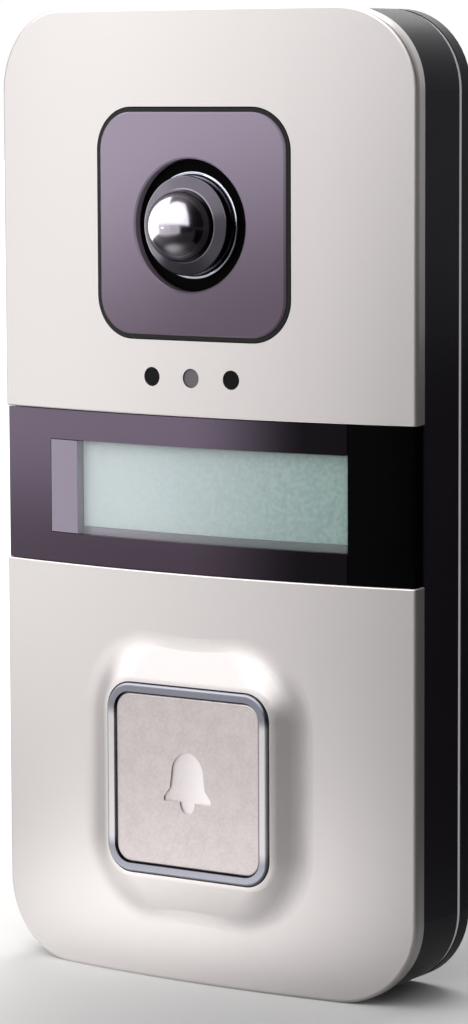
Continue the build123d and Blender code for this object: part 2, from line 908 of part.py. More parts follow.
def lens_surround():
    """Black seat behind the window for the lens ring and the dome."""
    ledge = ring_outer_radius - ring_width
    bore = ledge - surround_ledge
    top = trench_floor()
    seat = top - dome_sink
    back = seat - surround_floor
    flange = trench_radius + trench_flange
    flange_top = face_centre - window_thickness
    rim = trench_radius - slip / 2
    points = [(bore, back), (flange, back), (flange, flange_top), (rim, flange_top)]
    points += [(rim, top), (ledge, top), (ledge, seat), (bore, seat)]
    lip = rod(rim, 0, 2 * face_centre, 0, lens_height)
    return turned(points, 0, lens_height) & (under_face(window_thickness + thread_gap) + lip)


def lens_ring():
    """Bright ring round the dome."""
    inner = ring_outer_radius - ring_width
    low = trench_floor()
    high = low + ring_rise
    outer = rod(ring_outer_radius, low, high, 0, lens_height)
    ring = outer - rod(inner, 0, 2 * face_centre, 0, lens_height)
    return fillet(ring.edges().group_by(Axis.Z)[-1], ring_round)


def dome_centre():
    """Depth of the middle of the dome's sphere."""
    return face_centre + dome_stand


def lens_dome():
    """Smoked dome with its shoulder and its flange."""
    outer = ring_outer_radius - ring_width - running
    bore = dome_radius - dome_wall
    seat = trench_floor() - dome_sink
    middle = dome_centre()
    shoulder = face_centre + shoulder_stand
    with BuildPart() as dome:
        with BuildSketch(Plane.XZ):
            with BuildLine():
                Polyline((bore, middle), (bore, seat), (outer, seat))
                Polyline((outer, seat), (outer, shoulder), (dome_radius, middle))
                CenterArc((0, middle), dome_radius, 0, 90)
                Line((0, middle + dome_radius), (0, middle + bore))
                CenterArc((0, middle), bore, 0, 90)
            make_face()
        revolve(axis=Axis.Z)
    form = Pos(0, lens_height, 0) * dome.part
    rims = form.edges().filter_by(GeomType.CIRCLE).group_by(SortBy.RADIUS)[-1]
    return fillet(rims.sort_by(Axis.Z)[-1:], shoulder_round)


def camera_bracket():
    """Fixed frame in which the yoke turns from side to side."""
    half_width = bracket_half_width()
    half_height = bracket_half_height()
    low = pivot_depth - yoke_depth / 2
    high = carrier_front + bracket_ear_thickness
    body = slab(2 * half_width, 2 * half_height, bracket_corner, low, high, 0, lens_height)
    ear_width = 2 * (half_width + bracket_ear)
    body += slab(ear_width, bracket_ear_height, bracket_corner, carrier_front, high, 0, lens_height)
    hole_width = 2 * (half_width - bracket_side_wall)
    hole_height = 2 * (half_height - bracket_pin_wall)
    body -= block(hole_width, hole_height, 0, face_centre, 0, lens_height)
    low_end = lens_height - half_height - 1
    high_end = lens_height + half_height + 1
    body -= rod_up(pin_radius + running, low_end, high_end, 0, pivot_depth)
    for x, y in bracket_screw_places():
        body -= rod(board_screw_radius + slip / 2, 0, face_centre, x, y)
    return body


def camera_yoke():
    """Frame that turns from side to side in the bracket and holds the tilting lens holder."""
    half_width = yoke_half_width()
    half_height = yoke_half_height()
    low = pivot_depth - yoke_depth / 2
    high = pivot_depth + yoke_depth / 2
    frame = block(2 * half_width, 2 * half_height, low, high, 0, lens_height)
    hole_width = 2 * (half_width - yoke_wall)
    hole_height = 2 * (half_height - yoke_wall)
    pin_end = half_height + bracket_pin_wall
    frame += rod_up(pin_radius, lens_height - pin_end, lens_height + pin_end, 0, pivot_depth)
    frame -= block(hole_width, hole_height, 0, face_centre, 0, lens_height)
    across = half_width + 1
    return frame - rod_across(pin_radius + running, -across, across, lens_height, pivot_depth)


def lens_holder():
    """Holder that tilts up and down, with its two side pins and the seat of the sensor board."""
    radius = holder_radius()
    front = pivot_depth + holder_front
    back = pivot_depth - holder_back
    pin_end = yoke_half_width() - slip
    body = rod_across(pin_radius, -pin_end, pin_end, lens_height, pivot_depth)
    body += rod(radius, back, front, 0, lens_height)
    size = sensor_board_size
    body += slab(size, size, sensor_board_corner, back, back + holder_flange, 0, lens_height)
    return body - rod(barrel_radius + thread_gap, 0, 2 * face_centre, 0, lens_height)


def lens_barrel():
    """Barrel of the lens, narrow where it reaches into the dome."""
    back = pivot_depth - holder_back + holder_flange
    step = barrel_front - barrel_tip_length
    shoulder = step - barrel_taper
    barrel = rod(barrel_radius, back, shoulder, 0, lens_height)
    barrel += cone(barrel_radius, barrel_tip_radius, shoulder, step, 0, lens_height)
    barrel += rod(barrel_tip_radius, step, barrel_front, 0, lens_height)
    glass = front_glass_radius()
    barrel -= rod(glass, barrel_front - glass_seat_depth, 2 * face_centre, 0, lens_height)
    return barrel - rod(glass - glass_seat_width, 0, 2 * face_centre, 0, lens_height)


def front_glass_radius():
    return barrel_tip_radius - barrel_rim


def front_lens():
    """Glass at the tip of the barrel, with a shallow crown."""
    radius = front_glass_radius() - thread_gap
    low = barrel_front - glass_seat_depth
    tip = barrel_front + front_lens_rise
    sphere_radius = (radius**2 + front_lens_rise**2) / (2 * front_lens_rise)
    sphere = Pos(0, lens_height, tip - sphere_radius) * Sphere(sphere_radius)
    return rod(radius, low, tip + 1, 0, lens_height) & sphere


def sensor_board():
    """Small board behind the holder, with the image sensor on it."""
    front = pivot_depth - holder_back
    back = front - sensor_board_thickness
    size = sensor_board_size
    board = slab(size, size, sensor_board_corner, back, front, 0, lens_height)
    chip_front = front + sensor_chip_rise
    board += block(sensor_chip_width, sensor_chip_height, front, chip_front, 0, lens_height)
    plug_back = back - sensor_plug_rise
    return board + block(sensor_plug_width, sensor_plug_height, plug_back, back, 0, lens_height)


def light_pipe(x, y):
    """Clear rod from a chip on the board to a hole in the silver plate."""
    radius = eye_hole_radius - slip / 2
    low = board_front + led_chip_height + slip
    pipe = rod(radius, low, face_centre, x, y)
    pipe += rod(radius + eye_collar, carrier_front, carrier_front + 1, x, y)
    return pipe & under_face(eye_sink)


def light_pipes():
    """Two pipes in front of the illumination lights."""
    return light_pipe(*eye_places()[0]) + light_pipe(*eye_places()[2])


def sensor_pipe():
    """Middle pipe, which leads daylight to the light sensor."""
    return light_pipe(*eye_places()[1])


def illumination_leds():
    """Two chips that light the visitor's face."""
    chips = Part()
    front = board_front + led_chip_height
    for x, y in (eye_places()[0], eye_places()[2]):
        chips += block(led_chip_size, led_chip_size, board_front, front, x, y)
    return chips


def light_sensor():
    """Chip that tells day from night."""
    x, y = eye_places()[1]
    front = board_front + light_sensor_rise
    return block(light_sensor_width, light_sensor_height, board_front, front, x, y)


def flange_front():
    """Depth of the front of the button frame's flange."""
    return boss_top() - plate_thickness - slip


def flange_back():
    return flange_front() - button_frame_flange


def frame_flange_size():
    return button_frame_size + 2 * button_frame_reach


def frame_flange_corner():
    return button_frame_corner + button_frame_reach


def frame_opening():
    return button_frame_size - 2 * button_frame_width


def button_frame():
    """Bright square frame round the button, with a flange behind the plate."""
    size = button_frame_size
    corner = button_frame_corner
    front = boss_top() + frame_stand
    frame = slab(size, size, corner, flange_back(), front, 0, button_height)
    frame = fillet(frame.edges().group_by(Axis.Z)[-1], button_frame_round)
    flange = frame_flange_size()
    flange_corner = frame_flange_corner()
    frame += slab(flange, flange, flange_corner, flange_back(), flange_front(), 0, button_height)
    opening = frame_opening()
    inner_corner = corner - button_frame_width
    hole = slab(opening, opening, inner_corner, 0, 2 * face_centre, 0, button_height)
    frame -= hole
    wide = opening + 2 * cap_flange + 2 * slip
    return frame - slab(wide, wide, inner_corner, 0, cap_flange_front() + slip, 0, button_height)


def cap_front():
    """Depth of the button's face at rest."""
    return boss_top() + frame_stand - cap_drop


def cap_flange_front():
    return flange_front() - slip


def bell_outline():
    """Outline of the engraved bell, a right half and its mirror image, with the clapper below."""
    top = (0, bell_height / 2)
    shoulder = (bell_shoulder, bell_shoulder_rise)
    waist = (bell_waist, bell_waist_rise)
    hip = (bell_hip, -bell_hip_drop)
    lip = (bell_lip, -bell_lip_drop)
    corner = (bell_lip, -bell_height / 2)
    foot = (0, -bell_height / 2)
    side = ThreePointArc(top, shoulder, waist) + Line(waist, hip) + Line(hip, lip)
    half = make_face(side + Line(lip, corner) + Line(corner, foot) + Line(foot, top))
    bell = half + mirror(half, Plane.YZ)
    clapper = Pos(0, foot[1]) * Ellipse(clapper_half_width, clapper_drop)
    return Pos(0, bell_rise) * (bell + clapper)


def call_button():
    """Square button that is pressed towards the wall, with an engraved bell."""
    size = frame_opening() - 2 * cap_gap
    corner = button_frame_corner - button_frame_width - cap_gap
    back = cap_back()
    cap = slab(size, size, corner, back, cap_front(), 0, button_height)
    cap = fillet(cap.edges().group_by(Axis.Z)[-1], cap_edge_round)
    flange = size + 2 * cap_flange
    cap += slab(flange, flange, corner, back, cap_flange_front(), 0, button_height)
    hollow = size - 2 * cap_thickness
    hollow_front = cap_front() - cap_thickness
    cap -= slab(hollow, hollow, corner - cap_thickness, 0, hollow_front, 0, button_height)
    cap += rod(stem_radius, plunger_top(), hollow_front, 0, button_height)
    for x, y in guide_places():
        cap += rod(guide_radius, carrier_front, hollow_front, x, y)
    bell = Pos(0, button_height, cap_front() - bell_depth) * extrude(bell_outline(), 2 * bell_depth)
    return cap - bell


def guide_places():
    """Places of the two pins that keep the button square."""
    return [(-guide_spacing / 2, button_height), (guide_spacing / 2, button_height)]


def guide_top():
    """Depth of the mouth of the guide collars, clear of the pressed button."""
    return carrier_front + guide_collar_rise


def cap_back():
    """Depth of the back of the button at rest."""
    return cap_flange_front() - cap_flange_thickness


def bumper_front():
    return cap_back() - button_travel - slip / 2


def bumper_seat():
    return bumper_front() - bumper_thickness


def bumper_size():
    return frame_opening() + cap_flange


def button_bumper():
    """Soft ring that the pressed button stops on."""
    outer = bumper_size()
    inner = outer - 2 * bumper_width
    corner = button_frame_corner - button_frame_width
    ring = slab(outer, outer, corner, bumper_seat(), bumper_front(), 0, button_height)
    return ring - slab(inner, inner, bumper_corner, 0, face_centre, 0, button_height)


def switch_front():
    return board_front + switch_height


def plunger_top():
    """Depth where the button's stem meets the switch plunger at rest."""
    return switch_front() + plunger_length


def tact_switch():
    """Push switch on the main board, under the button's stem."""
    body = block(switch_size, switch_size, board_front, switch_front(), 0, button_height)
    well_floor = switch_front() - 2 * button_travel
    return body - rod(plunger_radius + running, well_floor, face_centre, 0, button_height)


def switch_plunger():
    """Round plunger of the push switch."""
    low = switch_front() - button_travel + running
    return rod(plunger_radius, low, plunger_top(), 0, button_height)


def main_board():
    """Circuit board that carries the works, on the back of the carrier."""
    height = board_top() - board_bottom
    middle = (board_top() + board_bottom) / 2
    board = slab(board_width, height, board_corner, board_back, board_front, 0, middle)
    for x, y in board_screw_places():
        board -= rod(board_screw_radius + slip / 2, 0, board_front + 1, x, y)
    return board


def on_back(width, height, tall, x, y):
    """Square part on the rear of the main board."""
    return block(width, height, board_back - tall, board_back, x, y)


def shield_can():
    """Metal screen over the processor."""
    x = shield_inset - board_width / 2
    can = on_back(shield_width, shield_height, shield_rise, x, board_top() - shield_drop)
    return fillet(can.edges().filter_by(Axis.Z), shield_corner)


def door_relay():
    """Relay that works the door lock."""
    return on_back(relay_width, relay_height, relay_rise, board_width / 2 - relay_inset, relay_y)


def capacitors():
    """Row of round capacitors."""
    row = Part()
    middle = board_width / 2 - capacitor_inset
    height = board_top() - capacitor_drop
    for number in range(capacitor_count):
        x = middle + (number - (capacitor_count - 1) / 2) * capacitor_pitch
        row += rod(capacitor_radius, board_back - capacitor_rise, board_back, x, height)
    return row


def choke_coil():
    """Coil that splits power from the bus line."""
    x = board_width / 2 - choke_inset
    base = on_back(choke_size, choke_size, choke_base, x, choke_y)
    return base + rod(choke_radius, board_back - choke_rise, board_back, x, choke_y)


def board_sockets():
    """Plug sockets for the speaker and the microphone, and one for the camera."""
    sockets = Part()
    x = board_width / 2 - socket_inset
    low = board_bottom + socket_end_gap
    places = [(-x, low), (x, low), (camera_socket_x, board_top() - camera_socket_drop)]
    mouth_width = socket_width - 2 * socket_wall
    mouth_height = socket_height - 2 * socket_wall
    for x, y in places:
        socket = on_back(socket_width, socket_height, socket_rise, x, y)
        sockets += socket - block(mouth_width, mouth_height, 0, board_back - socket_wall, x, y)
    return sockets


def terminal_block():
    """Screw terminals that face the wall, for the wires from the building."""
    width = terminal_count * terminal_pitch
    y = terminal_middle()
    body = on_back(width, terminal_height, terminal_length, 0, y)
    low = y - terminal_height / 2 - 1
    wire_depth = terminal_screw_front() + wire_hole_radius
    for x in terminal_xs():
        body -= rod(terminal_screw_radius + slip, 0, terminal_screw_front(), x, y)
        body -= rod_up(wire_hole_radius, low, y, x, wire_depth)
    return body


def terminal_screw_back():
    """Depth of the slotted end of the terminal screws, sunk in the block."""
    return board_back - terminal_length + terminal_screw_sink


def terminal_screw_front():
    return terminal_screw_back() + terminal_screw_length


def terminal_middle():
    return bay_top - terminal_height / 2 - terminal_inset


def terminal_xs():
    """Places of the terminals across the block."""
    return [(number - (terminal_count - 1) / 2) * terminal_pitch for number in range(terminal_count)]


def terminal_screws():
    """Slotted screws of the terminals."""
    screws = Part()
    y = terminal_middle()
    low = terminal_screw_back()
    for x in terminal_xs():
        screw = rod(terminal_screw_radius, low, terminal_screw_front(), x, y)
        slot = block(terminal_slot_width, 4 * terminal_screw_radius, 0, low + terminal_slot_depth, x, y)
        screws += screw - slot
    return screws


def speaker_frame():
    """Basket of the speaker."""
    back = speaker_back()
    front = speaker_front()
    basket = slab(speaker_width, speaker_height, speaker_corner, back, front, speaker_x, speaker_y)
    return basket - speaker_hollow(0.0, back + speaker_back_wall, front + 1)


def speaker_hollow(gap, low, high):
    """Space inside the rim of the speaker, drawn in by a gap all round."""
    width = speaker_width - 2 * (speaker_rim + gap)
    height = speaker_height - 2 * (speaker_rim + gap)
    corner = speaker_corner - gap
    return slab(width, height, corner, low, high, speaker_x, speaker_y)


def speaker_cone():
    """Moving sheet of the speaker with its domed middle."""
    low = speaker_front() - cone_drop
    high = low + cone_thickness
    sheet = speaker_hollow(slip, low, high)
    crown_radius = cone_dome_radius - cone_thickness
    crown = cone(cone_dome_radius, crown_radius, high, high + cone_thickness, speaker_x, speaker_y)
    magnet = rod(magnet_radius, speaker_back() + speaker_back_wall, low, speaker_x, speaker_y)
    return sheet + crown + magnet


def speaker_gasket():
    """Foam ring between the speaker and the chamber that leads to the slots."""
    low = speaker_front()
    high = low + speaker_seal
    ring = slab(speaker_width, speaker_height, speaker_corner, low, high, speaker_x, speaker_y)
    return ring - speaker_hollow(0.0, 0, high + 1)


def microphone_boot():
    """Rubber sleeve round the microphone, open towards the hole below."""
    radius = microphone_radius + boot_wall
    low = lower_wall_inner
    high = low + boot_wall + microphone_length + boot_wall
    depth = microphone_depth()
    boot = rod_up(radius, low, high, microphone_x, depth)
    seat = low + boot_wall
    boot -= rod_up(microphone_radius + thread_gap, seat, seat + microphone_length, microphone_x, depth)
    return boot - rod_up(microphone_hole_radius, low - 1, seat + 1, microphone_x, depth)


def microphone():
    """Small round microphone."""
    low = lower_wall_inner + boot_wall
    return rod_up(microphone_radius, low, low + microphone_length, microphone_x, microphone_depth())


def drive_cross(width, length, low, high, x, y):
    """Cross cut in a screw's head."""
    return block(width, length, low, high, x, y) + block(length, width, low, high, x, y)


def housing_screws():
    """Four countersunk screws from behind, through the housing into the carrier's posts."""
    screws = Part()
    neck = housing_back + housing_screw_head - housing_screw_radius
    cross_front = housing_back + housing_cross_depth
    for x, y in at_corners(post_x, post_y):
        screw = rod(housing_screw_radius, neck, carrier_back - housing_screw_gap, x, y)
        screw += cone(housing_screw_head - running, housing_screw_radius, housing_back, neck, x, y)
        screws += screw - drive_cross(housing_cross_width, housing_screw_head, 0, cross_front, x, y)
    return screws


def board_screw_front():
    """Depth of the tips of the board screws, inside the carrier."""
    return carrier_back + board_screw_grip


def board_screws():
    """Four screws that hold the main board to the carrier."""
    screws = Part()
    for x, y in board_screw_places():
        head_back = board_back - board_screw_head_height
        screw = rod(board_screw_head, head_back, board_back, x, y)
        screw += rod(board_screw_radius, board_back, board_screw_front(), x, y)
        screws += screw - drive_cross(cross_width, cross_length, 0, head_back + cross_depth, x, y)
    return screws


def bracket_screws():
    """Two screws that hold the camera bracket on the carrier."""
    screws = Part()
    seat = carrier_front + bracket_ear_thickness
    for x, y in bracket_screw_places():
        head_front = seat + board_screw_head_height
        screw = rod(board_screw_head, seat, head_front, x, y)
        screw += rod(board_screw_radius, seat - bracket_screw_length, seat, x, y)
        cross = drive_cross(cross_width, cross_length, head_front - cross_depth, head_front + 1, x, y)
        screws += screw - cross
    return screws


def locking_screw():
    """Screw in the lower end that locks the station to the wall plate."""
    seat = lower_wall_outer + lock_head_height + slip
    head_end = seat - lock_head_height
    screw = rod_up(lock_head_radius, head_end, seat, 0, lock_screw_depth)
    screw += rod_up(lock_screw_radius, seat, tab_middle + tab_thickness / 2, 0, lock_screw_depth)
    socket = extrude(RegularPolygon(lock_socket_radius, lock_socket_sides), lock_socket_depth, both=True)
    return screw - Pos(0, head_end, lock_screw_depth) * Rot(90, 0, 0) * socket


def stand_up(piece):
    """Stand a piece that lies on its back up against the wall."""
    return Rot(90, 0, 0) * piece


makers = [
    wall_plate,
    rear_seal,
    rear_housing,
    front_gasket,
    front_carrier,
    upper_front_plate,
    lower_front_plate,
    label_cover,
    band_infill,
    label_window,
    name_card,
    label_tray,
    light_guide,
    backlight_leds,
    camera_window,
    window_gasket,
    lens_surround,
    lens_ring,
    lens_dome,
    camera_bracket,
    camera_yoke,
    lens_holder,
    lens_barrel,
    front_lens,
    sensor_board,
    light_pipes,
    sensor_pipe,
    illumination_leds,
    light_sensor,
    button_frame,
    call_button,
    button_bumper,
    tact_switch,
    switch_plunger,
    main_board,
    shield_can,
    door_relay,
    capacitors,
    choke_coil,
    board_sockets,
    terminal_block,
    terminal_screws,
    speaker_frame,
    speaker_cone,
    speaker_gasket,
    microphone_boot,
    microphone,
    housing_screws,
    board_screws,
    bracket_screws,
    locking_screw,
]

os.makedirs("parts", exist_ok=True)
for maker in makers:
    export_step(stand_up(maker()), f"parts/{maker.__name__}.step")
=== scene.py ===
import math

import bmesh
import bpy
from mathutils import Matrix, Vector


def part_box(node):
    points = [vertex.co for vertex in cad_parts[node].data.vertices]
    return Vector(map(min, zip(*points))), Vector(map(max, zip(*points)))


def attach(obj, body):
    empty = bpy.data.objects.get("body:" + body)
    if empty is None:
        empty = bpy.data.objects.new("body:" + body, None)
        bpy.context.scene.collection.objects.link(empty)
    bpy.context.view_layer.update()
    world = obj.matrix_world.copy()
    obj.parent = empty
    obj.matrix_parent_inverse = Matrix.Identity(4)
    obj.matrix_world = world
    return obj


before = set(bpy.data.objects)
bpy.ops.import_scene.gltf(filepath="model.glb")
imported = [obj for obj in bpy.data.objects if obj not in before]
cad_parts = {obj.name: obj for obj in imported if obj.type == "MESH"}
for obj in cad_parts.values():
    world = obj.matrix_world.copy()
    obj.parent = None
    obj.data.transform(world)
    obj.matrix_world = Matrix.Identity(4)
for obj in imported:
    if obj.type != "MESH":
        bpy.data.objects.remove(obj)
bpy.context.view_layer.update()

# Video door station: finishes and fine pieces on the solid frame, and the studio it stands in.
# Lengths are in metres in the frame's own axes: +X to the visitor's right, +Z up, front at -Y.

bl_info = {
    "name": "Video door station",
    "version": (1, 0, 0),
    "blender": (4, 5, 0),
    "location": "3D View > Sidebar > Door station",
    "description": "Finishes and fine pieces of a video door station, with its studio",
    "category": "Object",
}

MM = 0.001

# Inputs and output of the colour mix node, which has several of the same name
MIX_FACTOR = 0
MIX_A = 6
MIX_B = 7
MIX_RESULT = 2

WHITE = (1.0, 1.0, 1.0, 1.0)

# How much of its normal a face has along an axis when it counts as facing that way
FACING = 0.9

# Distance from the dome to its own soft boxes
DOME_LAMP_REACH = 0.25

# The boxes: share of the dome's light; left and right edge in degrees from the front, positive to the
# right; foot and head in degrees above the dome's middle
DOME_LAMPS = {
    "dome_main": (1.0, -50, 52, 6, 80),
    "dome_low": (0.42, -50, 24, -24, 6),
    "dome_foot": (0.15, -50, 20, -42, -24),
    "dome_left": (1.4, -115, -50, -20, 60),
}

# Every plain finish has, besides its grain, broad patches of about 17 mm, which is 60 to a metre
PATCH_SCALE = 60.0

# Plain finishes. Each has two close colours that it wanders between, its grain and its relief in
# millimetres, its roughness and how far that wanders, and values of the shader's own.
FINISHES = {
    # Black ABS moulded in a fine spark-eroded tool: dull, with a soft broad shine
    "black_abs_moulded": ("#17131a", "#1d1921", 0.35, 0.01, 0.42, 0.08, {"Specular IOR Level": 0.35}),
    # Black ABS of the trench round the lens, painted as its own shade: near black, with no shine left to see
    "black_abs_painted_shade": ("#020202", "#040404", 0.5, 0.0, 0.35, 0.04, {"Specular IOR Level": 0.02}),
    # Moulded black silicone rubber: matt and slightly grey at grazing angles
    "black_rubber_moulded": ("#040405", "#080809", 0.5, 0.01, 0.5, 0.08, {"Specular IOR Level": 0.3}),
    # Closed-cell foam, die-cut: pale grey, dead matt, with open cells at the cut edge
    "grey_foam_seal": ("#c4c1c6", "#d0cdd2", 0.6, 0.05, 0.9, 0.05, {}),
    # Black acrylic, polished: a deep even black that mirrors next to nothing
    "black_acrylic_polished": ("#030304", "#050506", 2.0, 0.0, 0.12, 0.02, {"Specular IOR Level": 0.03}),
    # Clear acrylic, polished: nearly all goes through, and the surface shines
    "clear_acrylic_polished": (
        "#dcebea", "#ffffff", 2.0, 0.0, 0.05, 0.01, {"Alpha": 0.08, "Coat Weight": 0.6}),
    # Acrylic, frosted: milky, and it spreads the light that goes along it
    "frosted_acrylic_guide": ("#dfe6e6", "#eaf0f0", 0.5, 0.0, 0.5, 0.05, {}),
    # Dark tinted acrylic, moulded: a black dot while its lamp is off
    "dark_tinted_light_pipe": ("#050506", "#08080a", 0.6, 0.0, 0.08, 0.02, {"Specular IOR Level": 0.12}),
    # Frosted acrylic over a dark hole: a grey dot
    "frosted_sensor_pipe": ("#5c585d", "#716c72", 0.6, 0.0, 0.15, 0.03, {"Specular IOR Level": 0.12}),
    # White moulded chip with its yellow phosphor
    "white_led_package": ("#e8e4c8", "#f2eed8", 0.5, 0.0, 0.4, 0.05, {}),
    # Dark epoxy over the light sensor: dull, with a fine grit
    "sensor_epoxy": ("#161616", "#1e1e1e", 0.3, 0.01, 0.5, 0.08, {}),
    # Moulded black epoxy of chips: dull, with a fine grit
    "black_epoxy_moulded": ("#161616", "#1e1e1e", 0.3, 0.01, 0.5, 0.08, {}),
    # Polished chrome plate on moulded plastic: a hard, slightly blue mirror
    "bright_chrome_plate": ("#aaadb9", "#b4b7c2", 3.0, 0.0, 0.06, 0.02, {"Metallic": 1.0}),
    # Turned aluminium, black anodised: dark, with a fine metallic grain
    "black_anodised_aluminium": ("#131314", "#19191a", 0.2, 0.003, 0.35, 0.05, {"Metallic": 0.8}),
    # Coated optical glass: nearly black, with a violet cast
    "coated_optical_glass": ("#0a0814", "#100c20", 2.0, 0.0, 0.02, 0.01, {}),
    # Natural nylon, moulded: off-white and slightly soft
    "white_nylon_moulded": ("#dcdad2", "#e6e4dc", 0.4, 0.005, 0.45, 0.06, {}),
    # Cream nylon, moulded: warm and dull
    "cream_nylon": ("#d8d0b8", "#e0d8c2", 0.5, 0.01, 0.5, 0.05, {}),
    # Green polyamide, moulded: strong and half dull
    "green_polyamide": ("#1c7a3e", "#238546", 0.5, 0.01, 0.45, 0.06, {}),
    # Ferrite, sintered: charcoal grey and gritty
    "ferrite_sintered": ("#202022", "#2a2a2c", 0.2, 0.01, 0.6, 0.08, {}),
    # Tin-plated sheet steel: bright, with soft grey clouds
    "tin_plated_steel": ("#b4b4b0", "#c2c2be", 0.8, 0.002, 0.3, 0.08, {"Metallic": 1.0}),
    # Deep-drawn bare aluminium: bright with a faint haze
    "drawn_aluminium_can": ("#b8b8bc", "#c8c8cc", 0.6, 0.002, 0.3, 0.06, {"Metallic": 1.0}),
    # Tin-plated copper lead: bright but soft
    "tinned_copper_lead": ("#b9b9b6", "#c6c6c2", 0.4, 0.001, 0.28, 0.06, {"Metallic": 1.0}),
    # Fired ceramic: tan, smooth and dull
    "tan_ceramic_fired": ("#8d7a60", "#9a866b", 0.2, 0.002, 0.45, 0.05, {}),
    # Thin gold over nickel: warm, bright and a little hazy
    "gold_flash_plate": ("#d8a848", "#e2b65c", 0.4, 0.001, 0.25, 0.05, {"Metallic": 1.0}),
    # Pressed paper, dyed black: fibrous and quite matt
    "black_paper_cone": ("#0d0d0d", "#151515", 0.4, 0.03, 0.85, 0.05, {}),
    # Zinc-plated steel: cool grey with a soft shine
    "zinc_plated_steel": ("#a8a8ac", "#bababd", 0.3, 0.004, 0.32, 0.08, {"Metallic": 1.0}),
}


def linear(hex_colour):
    """Linear light with full alpha of an sRGB colour written as six hex digits."""
    channels = []
    for start in (1, 3, 5):
        value = int(hex_colour[start:start + 2], 16) / 255
        channels.append(value / 12.92 if value <= 0.04045 else ((value + 0.055) / 1.055) ** 2.4)
    return (*channels, 1.0)


def set_up(node, values):
    """Sets or links inputs of a node by name or number."""
    for name, value in values.items():
        if isinstance(value, bpy.types.NodeSocket):
            node.id_data.links.new(value, node.inputs[name])
        else:
            node.inputs[name].default_value = value


def add_node(tree, kind, inputs=None, **settings):
    """Adds a node with its own settings, and sets or links its inputs."""
    node = tree.nodes.new(kind)
    for name, value in settings.items():
        setattr(node, name, value)
    set_up(node, inputs or {})
    return node


def new_material(name):
    """A material with nothing but its principled shader."""
    material = bpy.data.materials.new(name)
    material.use_nodes = True
    tree = material.node_tree
    shader = next(node for node in tree.nodes if node.type == "BSDF_PRINCIPLED")
    return material, tree, shader


def plain_finish(name):
    """One of the plain finishes: its colour and gloss wander between two close values over a fine grain."""
    low, high, grain_mm, relief_mm, roughness, spread, values = FINISHES[name]
    material, tree, shader = new_material(name)
    place = add_node(tree, "ShaderNodeTexCoord").outputs["Object"]
    grain = add_node(
        tree, "ShaderNodeTexNoise",
        {"Vector": place, "Scale": 1 / (grain_mm * MM), "Detail": 2.0}).outputs["Fac"]
    patches = add_node(
        tree, "ShaderNodeTexNoise", {"Vector": place, "Scale": PATCH_SCALE, "Detail": 3.0}).outputs["Fac"]
    tone = add_node(
        tree, "ShaderNodeMix", {MIX_FACTOR: patches, MIX_A: linear(low), MIX_B: linear(high)},
        data_type="RGBA").outputs[MIX_RESULT]
    gloss = add_node(
        tree, "ShaderNodeMapRange",
        {"Value": grain, "To Min": roughness - spread, "To Max": roughness + spread},
        interpolation_type="SMOOTHSTEP").outputs["Result"]
    set_up(shader, {"Base Color": tone, "Roughness": gloss, **values})
    if relief_mm:
        bump = add_node(tree, "ShaderNodeBump", {"Height": grain, "Distance": relief_mm * MM})
        set_up(shader, {"Normal": bump.outputs["Normal"]})
    return material


def paint(material, *nodes):
    """Gives frame nodes one finish."""
    for name in nodes:
        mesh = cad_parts[name].data
        mesh.materials.clear()
        mesh.materials.append(material)


def new_block(name, low, high):
    """A block between two corners, in metres, as a start for a piece."""
    bpy.ops.object.select_all(action="DESELECT")
    low = Vector(low)
    high = Vector(high)
    bpy.ops.mesh.primitive_cube_add(size=1.0, location=(low + high) / 2, scale=high - low)
    bpy.ops.object.transform_apply(location=True, rotation=True, scale=True)
    piece = bpy.context.object
    piece.name = name
    return piece


def pick_faces(choose):
    """Selects, in edit mode, only the faces whose middle and normal are chosen."""
    bpy.ops.mesh.select_mode(type="FACE")
    bpy.ops.mesh.select_all(action="DESELECT")
    mesh = bmesh.from_edit_mesh(bpy.context.object.data)
    for face in mesh.faces:
        if choose(face.calc_center_median(), face.normal):
            face.select_set(True)
    bmesh.update_edit_mesh(bpy.context.object.data)


def rounded(piece, radius):
    """Rounds every edge of a small block."""
    bpy.context.view_layer.objects.active = piece
    bpy.ops.object.mode_set(mode="EDIT")
    bpy.ops.mesh.select_all(action="SELECT")
    bpy.ops.mesh.bevel(offset=radius, segments=2)
    bpy.ops.object.mode_set(mode="OBJECT")


def repeated(piece, places):
    """Sets a piece at the first of some places and copies of it at the others, all in one mesh."""
    copies = [piece]
    for place in places[1:]:
        bpy.ops.object.select_all(action="DESELECT")
        piece.select_set(True)
        bpy.context.view_layer.objects.active = piece
        bpy.ops.object.duplicate(linked=False)
        copy = bpy.context.object
        copy.data.transform(place)
        copies.append(copy)
    piece.data.transform(places[0])
    for copy in copies:
        copy.select_set(True)
    bpy.context.view_layer.objects.active = piece
    bpy.ops.object.join()
    return piece


def finished(piece, material):
    """Gives a new piece its finish and lets it go with the station."""
    piece.data.materials.clear()
    piece.data.materials.append(material)
    bpy.ops.object.select_all(action="DESELECT")
    piece.select_set(True)
    bpy.context.view_layer.objects.active = piece
    bpy.ops.object.shade_smooth_by_angle(angle=math.radians(40))
    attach(piece, "station")


